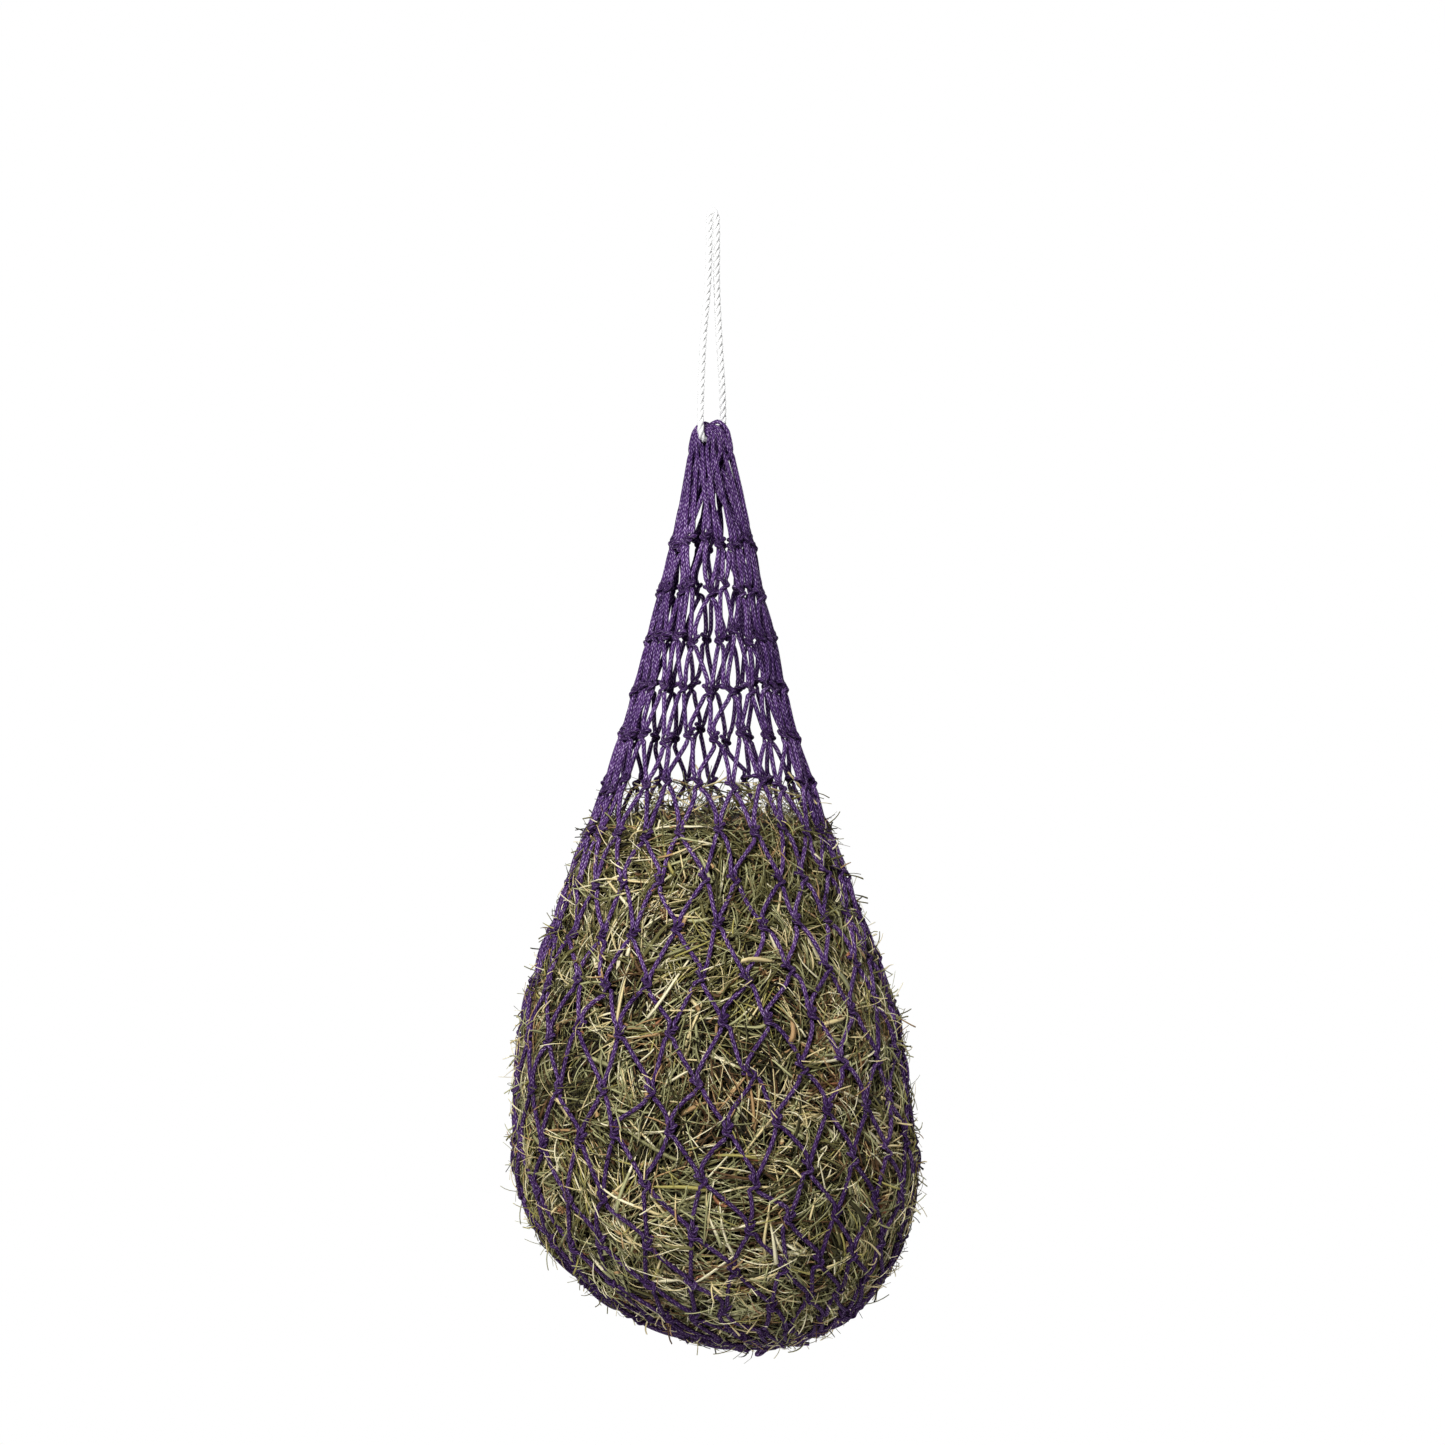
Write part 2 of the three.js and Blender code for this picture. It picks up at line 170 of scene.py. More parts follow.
def bag_point(s, around, inset=0.0):
    """A point of the bag at distance s down its side and angle around, inset mm inside."""
    s, around = np.broadcast_arrays(np.asarray(s, float), np.asarray(around, float))
    r = radius_at(s)
    z = np.interp(s, OUTLINE_S, OUTLINE_Z)
    tilt = tilt_at(z)
    upper = z > BELLY_Z
    high = z + np.tan(tilt) * r * np.cos(around)
    r_high = radius_at_height(high)
    scale = np.where(upper, 1 - inset / np.maximum(r_high, 1), 1 - inset / BELLY_R)
    reach = np.where(upper, r_high, r) * scale
    x, y = reach * np.cos(around), reach * np.sin(around)
    drop = (z - BELLY_Z) * scale
    low_x = x * np.cos(tilt) - drop * np.sin(tilt)
    low_z = BELLY_Z + drop * np.cos(tilt) + x * np.sin(tilt)
    x, z = np.where(upper, x, low_x), np.where(upper, high, low_z)
    return np.stack([x + centre_at(z), y, z], -1)


def bag_frame(s, around):
    """Directions on the bag: along a row, up the bag and out of it."""
    along = unit(bag_point(s, around + 0.01) - bag_point(s, around - 0.01))
    up = bag_point(np.maximum(s - 1, 0), around) - bag_point(np.minimum(s + 1, FOOT_S), around)
    up = unit(up - along * (up * along).sum(-1, keepdims=True))
    return along, up, np.cross(along, up)


# ---- Making meshes ----

def new_object(name, points, faces, materials, body, uvs=None, face_slots=None, painted_shade=None):
    """A mesh object from arrays, in mm. faces is a list of (n, 4) and (n, 3) arrays.

    The last argument, from 0 to 1 at each point, is painted shade on the cord: in the squeezed wraps of
    knots, and more and more towards the foot.
    """
    mesh = bpy.data.meshes.new(name)
    sizes = np.concatenate([np.full(len(f), f.shape[1], np.int32) for f in faces])
    corners = np.concatenate([f.reshape(-1) for f in faces]).astype(np.int32)
    mesh.vertices.add(len(points))
    mesh.vertices.foreach_set("co", (points * MM).astype(np.float32).reshape(-1))
    mesh.loops.add(len(corners))
    mesh.loops.foreach_set("vertex_index", corners)
    mesh.polygons.add(len(sizes))
    mesh.polygons.foreach_set("loop_start", (np.cumsum(sizes) - sizes).astype(np.int32))
    mesh.polygons.foreach_set("use_smooth", np.ones(len(sizes), bool))
    for material in materials:
        mesh.materials.append(material)
    if face_slots is not None:
        mesh.polygons.foreach_set("material_index", face_slots.astype(np.int32))
    if uvs is not None:
        mesh.uv_layers.new(name="CordMap").data.foreach_set("uv", uvs.astype(np.float32).reshape(-1))
    if painted_shade is not None:
        mesh.attributes.new("painted_shade", "FLOAT", "POINT").data.foreach_set("value", painted_shade.astype(np.float32))
    mesh.update(calc_edges=True)
    mesh.validate()
    thing = bpy.data.objects.new(name, mesh)
    bpy.context.scene.collection.objects.link(thing)
    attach(thing, body)
    return thing


def skin(rings, sides, closed=False):
    """Quads over rings of points. Closed joins the last ring to the first."""
    i = np.arange(rings if closed else rings - 1)[:, None]
    j = np.arange(sides)[None, :]
    i2, j2 = (i + 1) % rings, (j + 1) % sides
    return np.stack([i * sides + j, i * sides + j2, i2 * sides + j2, i2 * sides + j], -1).reshape(-1, 4)


def end_fans(rings, sides):
    """Triangles from the two end rings to two middle points, which come after all the rings."""
    k = np.arange(sides)
    k2, last, middle = (k + 1) % sides, (rings - 1) * sides, np.full(sides, rings * sides)
    return np.concatenate([np.stack([middle, k2, k], -1), np.stack([middle + 1, last + k, last + k2], -1)])


def path_frames(points, closed):
    """Two directions across a path at each of its points, turning as little as they can."""
    n = len(points)
    if closed:
        tangents = unit(np.roll(points, -1, 0) - np.roll(points, 1, 0))
    else:
        tangents = unit(np.gradient(points, axis=0))
    normals = np.empty_like(points)
    aside = [0.0, 0.0, 1.0] if abs(tangents[0][2]) < 0.8 else [1.0, 0.0, 0.0]
    normals[0] = unit(np.cross(tangents[0], aside))
    for i in range(1, n):
        step = normals[i - 1] - tangents[i] * (normals[i - 1] @ tangents[i])
        normals[i] = step / max(math.sqrt(step @ step), 1e-9)
    sides = np.cross(tangents, normals)
    if closed:
        end = unit(normals[-1] - tangents[0] * (normals[-1] @ tangents[0]))
        twist = math.atan2(end @ sides[0], end @ normals[0])
        share = -twist * np.arange(n) / n
        normals = normals * np.cos(share)[:, None] + sides * np.sin(share)[:, None]
    return normals, np.cross(tangents, normals)


def tube(points, radii, sides, closed=True, pitch=BRAID_PITCH):
    """Points, faces and cord coordinates of a tube. Open tubes get flat ends."""
    n = len(points)
    normals, across = path_frames(points, closed)
    steps = np.linalg.norm(np.roll(points, -1, 0) - points, axis=1)
    length = np.concatenate([[0], np.cumsum(steps)[:n if closed else n - 1]])
    angles = 2 * math.pi * np.arange(sides) / sides
    reach = np.broadcast_to(np.reshape(radii, (-1, 1)), (n, sides))
    rings = (points[:, None, :]
             + normals[:, None, :] * (reach * np.cos(angles))[:, :, None]
             + across[:, None, :] * (reach * np.sin(angles))[:, :, None]).reshape(-1, 3)
    turns = max(round(length[-1] / pitch), 1) / length[-1] if closed else 1 / pitch
    v = length * turns
    i, j = np.arange(n if closed else n - 1)[:, None], np.arange(sides)[None, :]
    corner_u = np.stack([j, j + 1, j + 1, j], -1) / sides
    corner_v = np.stack([v[i], v[i], v[i + 1], v[i + 1]], -1)
    uvs = np.stack(np.broadcast_arrays(corner_u, corner_v), -1).reshape(-1, 2)
    quads = skin(n, sides, closed)
    if closed:
        return rings, [quads], uvs
    cap_uvs = np.tile([0.5, 0.0], (2 * sides * 3, 1))
    return np.vstack([rings, points[0], points[-1]]), [quads, end_fans(n, sides)], np.vstack([uvs, cap_uvs])


def join(tubes):
    """Joins several open tubes, keeping quads before triangles."""
    starts = np.cumsum([0] + [len(points) for points, _, _ in tubes])
    faces = [np.concatenate([faces[kind] + start for start, (_, faces, _) in zip(starts, tubes)])
             for kind in (0, 1)]
    uvs = ([uvs[:len(faces[0]) * 4] for _, faces, uvs in tubes]
           + [uvs[len(faces[0]) * 4:] for _, faces, uvs in tubes])
    return np.concatenate([points for points, _, _ in tubes]), faces, np.concatenate(uvs)


def blend(first, second, start, end, t):
    """From first where t is start to second where t is end."""
    return (end - t) / (end - start) * first + (t - start) / (end - start) * second


def smooth_path(points, spacing):
    """A centripetal Catmull-Rom curve through points, resampled at about the spacing."""
    p = np.vstack([2 * points[0] - points[1], points, 2 * points[-1] - points[-2]])
    out = []
    for i in range(1, len(p) - 2):
        chords = [np.linalg.norm(p[i + k] - p[i + k - 1]) for k in (0, 1, 2)]
        knots = np.cumsum([0] + [max(chord, 1e-6) ** 0.5 for chord in chords])
        t = np.linspace(knots[1], knots[2], 12, endpoint=False)[:, None]
        a = [blend(p[i - 1 + k], p[i + k], knots[k], knots[k + 1], t) for k in range(3)]
        b = [blend(a[k], a[k + 1], knots[k], knots[k + 2], t) for k in range(2)]
        out.append(blend(b[0], b[1], knots[1], knots[2], t))
    fine = np.vstack(out + [points[-1:]])
    length = distances(fine)
    count = max(int(round(length[-1] / spacing)), 2)
    at = np.linspace(0, length[-1], count + 1)
    return np.stack([np.interp(at, length, fine[:, k]) for k in range(3)], -1)


# ---- Materials ----

WHITE = (1, 1, 1, 1)


def srgb(r, g, b):
    """A linear colour from 0 to 255 display values."""
    def linear(c):
        c /= 255
        return c / 12.92 if c <= 0.04045 else ((c + 0.055) / 1.055) ** 2.4
    return (linear(r), linear(g), linear(b), 1.0)


class Nodes:
    """A node tree being made, and short ways to add to it."""

    def __init__(self, tree):
        self.nodes, self.links = tree.nodes, tree.links

    def feed(self, socket, value):
        """Sets a socket to a constant, or links another node's output to it."""
        if isinstance(value, bpy.types.NodeSocket):
            self.links.new(value, socket)
        else:
            socket.default_value = value

    def add(self, kind, inputs, **settings):
        """A node. inputs go by the socket's name or number."""
        node = self.nodes.new("ShaderNode" + kind)
        for name, value in settings.items():
            setattr(node, name, value)
        for socket, value in inputs.items():
            self.feed(node.inputs[socket], value)
        return node

    def math(self, operation, *values):
        return self.add("Math", dict(enumerate(values)), operation=operation).outputs[0]

    def noise(self, place, scale, detail=3.0):
        return self.add("TexNoise", {"Vector": place, "Scale": scale, "Detail": detail}).outputs["Fac"]

    def ramp(self, factor, *stops):
        node = self.add("ValToRGB", {"Fac": factor})
        while len(node.color_ramp.elements) < len(stops):
            node.color_ramp.elements.new(0.5)
        for element, (place, colour) in zip(node.color_ramp.elements, stops):
            element.position = place
            element.color = colour
        return node.outputs["Color"]

    def mix(self, way, factor, a, b):
        inputs = {"Factor": factor, "A": a, "B": b}
        return self.add("Mix", inputs, data_type="RGBA", blend_type=way).outputs["Result"]

    def mix_shaders(self, factor, first, second):
        return self.add("MixShader", {"Fac": factor, 1: first, 2: second}).outputs[0]

    def object_place(self):
        return self.add("TexCoord", {}).outputs["Object"]


class Look(Nodes):
    """A material with one main shader."""

    def __init__(self, name):
        self.material = bpy.data.materials.new(name)
        self.material.use_nodes = True
        super().__init__(self.material.node_tree)
        self.shader = self.nodes["Principled BSDF"]

    def shade(self, **sockets):
        for name, value in sockets.items():
            self.feed(self.shader.inputs[name.replace("_", " ")], value)

    def between(self, value, low, high):
        return self.add("MapRange", {"Value": value, "To Min": low, "To Max": high}).outputs[0]

    def bump(self, height, strength, distance):
        inputs = {"Height": height, "Strength": strength, "Distance": distance}
        self.shade(Normal=self.add("Bump", inputs).outputs[0])

    def cord_place(self):
        """Where a point lies on its cord: as one output, and split into around and along."""
        place = self.add("UVMap", {}, uv_map="CordMap").outputs["UV"]
        parts = self.add("SeparateXYZ", {0: place})
        return place, parts.outputs[0], parts.outputs[1]


def braided_cord():
    """Purple braid: columns of plaits in a herringbone, with a painted highlight on their crowns and painted
    shade between them.
    """
    look = Look("braided_purple_cord")
    place, around, along = look.cord_place()
    column = look.math("MULTIPLY", around, PLAITS_AROUND)
    turned = look.math("MULTIPLY", along, 2 * math.pi)
    slanted = look.math("MULTIPLY_ADD", look.math("PINGPONG", column, 1.0), PLAIT_SLOPE, turned)
    staggered = look.math("MULTIPLY_ADD", look.math("FLOOR", column), math.pi, slanted)
    strokes = look.math("MULTIPLY_ADD", look.math("SINE", staggered), 0.5, 0.5)
    ridges = look.math("ABSOLUTE", look.math("SINE", look.math("MULTIPLY", column, math.pi)))
    plaits = look.math("MULTIPLY", strokes, ridges)

    fibres = look.noise(look.object_place(), 420.0, 2.0)
    wear = look.noise(look.object_place(), 28.0, 4.0)
    # Streaks drawn out along the cord, lightening it: painted sheen
    drawn_out = look.add("VectorMath", {0: place, 1: (10.0, 0.8, 0.0)}, operation="MULTIPLY").outputs[0]
    sheen_streaks = look.math("MULTIPLY_ADD", look.noise(drawn_out, 1.0), 1.1, -0.28)
    tone = look.math("MULTIPLY_ADD", look.math("MULTIPLY", plaits, fibres), 0.95, sheen_streaks)
    # Plait pattern to colour: the darkest stops are painted shade between the plaits, the palest a painted
    # highlight on their crowns
    cord = look.ramp(tone, (0.12, srgb(33, 13, 46)), (0.32, srgb(74, 43, 101)),
                     (0.54, srgb(121, 86, 148)), (0.86, srgb(214, 194, 230)))
    shadow = look.ramp(wear, (0.3, srgb(176, 166, 190)), (0.65, srgb(255, 255, 255)))
    worn = look.mix("MULTIPLY", 1.0, cord, shadow)
    # Painted shade: in the knots' squeezed wraps and towards the foot the cord is mixed towards a near-black
    # purple
    painted_shade = look.add("Attribute", {}, attribute_name="painted_shade").outputs["Fac"]
    darkness = look.math("MULTIPLY", painted_shade, KNOT_PAINTED_SHADE)
    look.shade(Base_Color=look.mix("MIX", darkness, worn, srgb(33, 12, 47)),
               Roughness=look.between(plaits, 0.85, 0.6), Specular_IOR_Level=0.08)
    look.bump(tone, 0.8, 0.0008)
    return look.material


YARNS = 9               # yarns to be seen round a strand of the white rope


def white_rope():
    """White rope strand: fine fibres running along the strand, slightly shiny."""
    look = Look("twisted_white_rope")
    _, around, along = look.cord_place()
    turned = look.math("MULTIPLY", along, 2 * math.pi)
    yarns = look.math("SINE", look.math("MULTIPLY_ADD", around, YARNS * 2 * math.pi, turned))
    fibres = look.noise(look.object_place(), 700.0)
    tone = look.math("MULTIPLY_ADD", yarns, 0.2, fibres)
    look.shade(Base_Color=look.ramp(tone, (0.25, srgb(240, 240, 238)), (0.7, srgb(255, 255, 255))),
               Roughness=look.between(fibres, 0.5, 0.35))
    look.bump(tone, 0.5, 0.0003)
    return look.material


def hay_blade(name, colour, roughness):
    """One shade of dry grass."""
    look = Look("hay_" + name)
    look.shade(Base_Color=srgb(*colour), Roughness=roughness, Specular_IOR_Level=0.35)
    return look.material


def hay_painted_shade():
    """The mass of hay behind the outer stems, painted near-black as its shade."""
    look = Look("hay_painted_shade")
    fine = look.noise(look.object_place(), 260.0, 5.0)
    look.shade(Base_Color=look.ramp(fine, (0.30, srgb(14, 11, 5)), (0.50, srgb(34, 29, 16)),
                                    (0.68, srgb(66, 60, 38))), Roughness=0.95)
    look.bump(fine, 0.9, 0.003)
    return look.material


CORD = braided_cord()
ROPE = white_rope()
HAY_PAINTED_SHADE = hay_painted_shade()
# name, display colour, share of the blades, roughness
GRASS = [
    ("grey_green", (146, 143, 98), 0.17, 0.6),
    ("olive", (106, 100, 56), 0.14, 0.65),
    ("sage", (182, 180, 130), 0.15, 0.55),
    ("deep_green", (60, 56, 27), 0.11, 0.65),
    ("straw", (230, 211, 156), 0.12, 0.5),
    ("pale_straw", (246, 236, 196), 0.07, 0.45),
    ("yellow_green", (170, 160, 88), 0.06, 0.55),
    ("tan", (182, 146, 100), 0.06, 0.6),
    ("brown", (100, 73, 44), 0.04, 0.7),
    ("rust", (170, 116, 80), 0.006, 0.7),
    # a near-black stem colour: some stems are this dark, and deep in the hay it serves mostly as painted
    # shade
    ("dark", (38, 31, 17), 0.08, 0.8),
]
GRASS_MATERIALS = [hay_blade(name, colour, roughness) for name, colour, _, roughness in GRASS]
SHADES = {name: number for number, (name, _, _, _) in enumerate(GRASS)}
# The shade that each shade dries to, towards a stem's end
DRIER = np.array([SHADES[name] for name in (
    "sage", "grey_green", "pale_straw", "olive", "pale_straw", "straw", "straw", "straw", "tan", "tan",
    "brown")])
WITHERED = [SHADES["tan"], SHADES["brown"], SHADES["rust"]]


def shares(**weights):
    """Each shade's share of the blades, with more or less of some shades."""
    total = np.array([share * weights.get(name, 1) for name, _, share, _ in GRASS])
    return total / total.sum()


# On the outside more of it is pale, and deep in the hay more of it is dark: painted light on the outer stems,
# painted shade deep in the hay and partly in the middle layer
EVEN_MIX = shares()
OUTER_MIX = shares(grey_green=1.1, sage=1.2, deep_green=0.8, straw=1.3, pale_straw=1.7,
                   yellow_green=1.1, dark=0.5)
BROAD_MIX = shares(grey_green=3.0, olive=1.6, sage=2.4, deep_green=0.8, straw=0.8, pale_straw=0.8,
                   yellow_green=1.6, tan=0.8, brown=0.5, rust=0.5, dark=0.1)
DEEP_MIX = shares(grey_green=0.2, olive=0.9, sage=0.05, deep_green=2.2, straw=0.05, pale_straw=0,
                  yellow_green=0.2, tan=0.3, brown=3, dark=13)
MIDDLE_MIX = 0.3 * EVEN_MIX + 0.7 * DEEP_MIX

# ---- Camera, light and floor ----

VIEW_X, VIEW_Z = 8.6, -457.0     # what the middle of the picture looks at
VIEW_WIDTH = 1300.0              # width of the picture at the bag
VIEW_FROM = 4500.0               # the camera's distance
SENSOR = 36
SKY_TO_CAMERA, SKY_LIGHT = 1.0, 0.07
LIGHTS_AIM = Vector((0.0, 0.0, -0.7))
FLOOR_Z, FLOOR_R = -1.45, 2.5
FLOOR_GREY = 0.74

scene = bpy.context.scene
scene.view_settings.view_transform = "Standard"

camera_data = bpy.data.cameras.new("camera")
camera_data.sensor_width = SENSOR
camera_data.lens = SENSOR * VIEW_FROM / VIEW_WIDTH
camera_data.clip_end = 50
camera = bpy.data.objects.new("camera", camera_data)
camera.location = (VIEW_X * MM, -VIEW_FROM * MM, VIEW_Z * MM)
camera.rotation_euler = (math.radians(90), 0, 0)
scene.collection.objects.link(camera)
scene.camera = camera


def make_world():
    """White where the camera sees it, and a dim even light on everything else."""
    world = bpy.data.worlds.new("studio")
    scene.world = world
    world.use_nodes = True
    sky = Nodes(world.node_tree)
    sky.nodes.clear()
    light = sky.add("Background", {"Color": WHITE, "Strength": SKY_LIGHT}).outputs[0]
    seen = sky.add("Background", {"Color": WHITE, "Strength": SKY_TO_CAMERA}).outputs[0]
    to_camera = sky.add("LightPath", {}).outputs["Is Camera Ray"]
    sky.add("OutputWorld", {"Surface": sky.mix_shaders(to_camera, light, seen)})


def area_light(name, place, size, power):
    data = bpy.data.lights.new(name, "AREA")
    data.shape = "SQUARE"
    data.size = size
    data.energy = power
    lamp = bpy.data.objects.new(name, data)
    lamp.location = place
    lamp.rotation_mode = "QUATERNION"
    lamp.rotation_quaternion = (LIGHTS_AIM - Vector(place)).to_track_quat("-Z", "Y")
    scene.collection.objects.link(lamp)


def make_floor():
    """A pale round floor under the bag that fades out at its edge."""
    look = Look("pale_floor")
    look.shade(Base_Color=(FLOOR_GREY, FLOOR_GREY, FLOOR_GREY, 1), Roughness=0.9)
    reach = look.add("VectorMath", {0: look.object_place()}, operation="LENGTH").outputs["Value"]
    fade = look.add("MapRange", {"Value": reach, "From Min": 0.7, "From Max": 2.4},
                    interpolation_type="SMOOTHSTEP")
    clear = look.add("BsdfTransparent", {}).outputs[0]
    faded = look.mix_shaders(fade.outputs[0], look.shader.outputs[0], clear)
    look.feed(look.nodes["Material Output"].inputs["Surface"], faded)
    bpy.ops.mesh.primitive_circle_add(vertices=96, radius=FLOOR_R, fill_type="NGON", location=(0, 0, FLOOR_Z))
    floor = bpy.context.object
    floor.name = "floor"
    floor.data.materials.append(look.material)


make_world()
area_light("key", (-0.9, -3.5, 1.7), 0.7, 178)
area_light("side", (-3.1, -1.3, 1.1), 1.4, 38)
area_light("fill", (2.7, -2.6, 0.6), 1.4, 6)
area_light("back", (-0.9, 3.2, 0.9), 2.0, 76)
area_light("back_side", (2.7, 2.1, 1.0), 1.6, 44)
make_floor()

# ---- Drawcord: three strands twisted along the route of the CAD drawcord ----

STRANDS = 3
ROPE_LAY = 21.6                       # length of one turn of a strand
STRAND_R, STRAND_OUT = 1.48, 1.62     # a strand's radius, and how far it lies from the rope's middle
STRAND_SIDES, STRAND_PITCH = 12, 4.0
bight_way = np.array([math.cos(BIGHT_TURN), math.sin(BIGHT_TURN), 0.0])
bight_side = np.array([-math.sin(BIGHT_TURN), math.cos(BIGHT_TURN), 0.0])


def bight_point(along, side, height):
    """A point near the rope's run through the top loops."""
    return BIGHT + bight_way * along + bight_side * side + np.array([0, 0, height])


def rope_route():
    end = BIGHT_HALF + BIGHT_BEND
    return np.array([
        bight_point(0.3, 0, 0), bight_point(BIGHT_HALF / 2, 0, 0), bight_point(BIGHT_HALF, 0, 0),
        bight_point(BIGHT_HALF + 5, 0, 2), bight_point(end - 0.5, 0, 7), bight_point(end, 0, 14),
        (8.6, 19, -160), (5.8, 12, -112), (3.4, 5.5, -62), (3.4, 1, -28), (3.3, 0, -10), (2.3, 0, 0.6),
        (0, 0, ROPE_R),
        (-2.3, 0, 0.6), (-3.3, 0, -10), (-3.4, -1, -28), (-4.4, -5.5, -62), (-8.5, -12, -112),
        (-10.6, -19, -160),
        bight_point(-end, 0, 14), bight_point(-end + 0.5, 0, 7), bight_point(-BIGHT_HALF - 5, 0, 2),
        bight_point(-BIGHT_HALF, 0, 0), bight_point(-BIGHT_HALF / 2, 0, 0), bight_point(-0.3, 0, 0),
    ])


def make_rope():
    route = smooth_path(rope_route(), 1.2)
    normals, across = path_frames(route, False)
    length = distances(route)
    strands = []
    for strand in range(STRANDS):
        turn = 2 * math.pi * (length / ROPE_LAY + strand / STRANDS)
        offset = normals * np.cos(turn)[:, None] + across * np.sin(turn)[:, None]
        strands.append(tube(route + STRAND_OUT * offset, STRAND_R, STRAND_SIDES, False, STRAND_PITCH))
    verts, faces, uvs = join(strands)
    rope = new_object("drawcord_rope", verts, faces, [ROPE], "rope", uvs=uvs)
    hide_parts("drawcord")


make_rope()

# ---- Knots: a netting sheet bend, drawn tight by letting two routes relax ----

# x is along the row, y up the bag, z out of it, in mm
BIGHT_ROUTE = np.array([
    (-2.15, 8.6, 0), (-1.8, 5.6, 0), (-1.5, 2.8, 0), (-1.8, 0.2, 0), (-1.3, -2.2, 0), (0, -3.2, 0),
    (1.3, -2.2, 0), (1.8, 0.2, 0), (1.5, 2.8, 0), (1.8, 5.6, 0), (2.15, 8.6, 0),
])
WRAP_ROUTE = np.array([
    (-4.0, -7.4, 0), (-2.4, -5.2, -1.0), (-0.9, -3.5, -2.5), (-0.2, -1.0, -1.5), (0, 0.6, 1.0),
    (0.3, 2.4, 3.4), (2.0, 3.6, 2.8), (3.3, 3.4, 0.2), (2.4, 2.6, -2.5), (0, 1.8, -3.2),
    (-2.5, 1.0, -2.5), (-3.5, 0.2, -0.2), (-2.5, -0.4, 2.4), (-0.2, -0.6, 3.0), (2.0, -1.6, 2.8),
    (3.0, -3.2, 1.6), (3.5, -5.0, 0.3), (4.4, -7.4, 0),
])
KNOT_SPACING = 0.9
RELAXING_STEPS = 260
TAUTENING, PUSHING = 0.25, 0.22     # how far a point moves at each step, of what it should
SAME_BEND = 5                       # points nearer than this along a strand may be close together
SQUEEZED_TO, SLACK_FROM = 3.6, 8.0  # how far from the middle the cord is squeezed, and where it gets slack


def push_apart(points, reach, share, may_touch):
    """Moves points apart by a share of what they lack in reach, but for the pairs that may touch."""
    gap = points[:, None, :] - points[None, :, :]
    distance = np.linalg.norm(gap, axis=-1) + 1e-6
    push = np.where(may_touch | (distance > reach), 0, (reach - distance) / distance)
    return points + share * (gap * push[:, :, None]).sum(1)


def relax_knot():
    """Pulls both routes taut while keeping every strand a cord's width from the next."""
    routes = [smooth_path(BIGHT_ROUTE, KNOT_SPACING), smooth_path(WRAP_ROUTE, KNOT_SPACING)]
    points = np.vstack(routes)
    index = np.concatenate([np.arange(len(route)) for route in routes])
    strand = np.concatenate([np.full(len(route), number) for number, route in enumerate(routes)])
    last = np.concatenate([np.full(len(route), len(route) - 1) for route in routes])
    held = ((index < 2) | (index > last - 2))[:, None]
    near = (strand[:, None] == strand) & (np.abs(index[:, None] - index) < SAME_BEND)
    for _ in range(RELAXING_STEPS):
        middle = points.copy()
        middle[1:-1] = (points[:-2] + points[2:]) / 2
        points = np.where(held, points, points + TAUTENING * (middle - points))
        for _ in range(2):
            points = np.where(held, points, push_apart(points, 2 * KNOT_CORD_R, PUSHING, near))
    return points[:len(routes[0])], points[len(routes[0]):]


def knot_radii(route):
    """Cord radius along a knot's route: squeezed in its middle."""
    slack = ease((np.linalg.norm(route, axis=1) - SQUEEZED_TO) / (SLACK_FROM - SQUEEZED_TO))
    return KNOT_CORD_R + (CORD_R - KNOT_CORD_R) * slack


KNOT_BIGHT, KNOT_WRAP = relax_knot()
BIGHT_RADII, WRAP_RADII = knot_radii(KNOT_BIGHT), knot_radii(KNOT_WRAP)

# ---- Netting: rounds of cord from knot to knot ----

ROW_ANGLES = [PHASE - math.pi / 2 + 2 * math.pi * (np.arange(MESHES) + (row % 2) / 2) / MESHES
              for row in range(COURSES + 1)]
NECK_FLATNESS = 0.24    # radians: how far the slack neck's cords gather at its two sides
KNOT_LEAN = 0.16        # radians
# How far knots sit off their places: in the tightest row, and how much more in the widest
ALONG_SHIFT, DOWN_SHIFT, OUT_SHIFT = (1.0, 2.2), (2.6, 0.2), (1.5, -1.0)
KNOT_OUT = 0.6          # how far they stand out on the whole
LEG_SPACING = 2.6
LEG_PULL = 0.30         # how long a leg keeps the way it left its knot, of its length
# How far apart each row's lower legs leave the knot: 0 side by side, 1 widest
SPREAD = np.clip((radius_at(ROW_S) - 40) / 110, 0, 1)
# How much the hay fills the bag at each row, and so stretches the cord
FILLED = np.clip((ROW_S - station_at_height(-540)) / 50, 0, 1)
THINNING = 1 - FILLED_THINNING * FILLED


def knot_places():
    """Where each row's knots lie and their directions, each a little off its place in the pattern."""
    places = []
    for row in range(COURSES + 1):
        radius = float(radius_at(ROW_S[row]))
        loose = min(radius / BELLY_R, 1)
        along_shift, down_shift, out_shift = (rng.normal(0, least + more * loose, MESHES)
                                              for least, more in (ALONG_SHIFT, DOWN_SHIFT, OUT_SHIFT))
        angles = ROW_ANGLES[row] + along_shift / radius
        angles = angles - NECK_FLATNESS * (1 - loose) ** 1.5 * np.sin(2 * angles)
        s = np.minimum(ROW_S[row] + down_shift, FOOT_S - 8)
        along, up, out = bag_frame(s, angles)
        lean = rng.normal(0, KNOT_LEAN, MESHES)[:, None]
        along, up = along * np.cos(lean) + up * np.sin(lean), up * np.cos(lean) - along * np.sin(lean)
        places.append((bag_point(s, angles) + out * (out_shift + KNOT_OUT)[:, None], along, up, out))
    return places


PLACES = knot_places()


def placed(route, row, column, flip=False):
    """A knot's route at its place. Every other row is knotted from the other side."""
    origin, along, up, out = (x[column % MESHES] for x in PLACES[row])
    close = 1 - 0.5 * (1 - SPREAD[row]) * ease((-route[:, 1] - 2) / 5)
    x, y, z = (route * np.stack([close, np.ones_like(close), np.ones_like(close)], -1)).T[:, :, None]
    if flip:
        x, y, z = -x[::-1], y[::-1], z[::-1]
    return origin + x * along + y * up + z * out


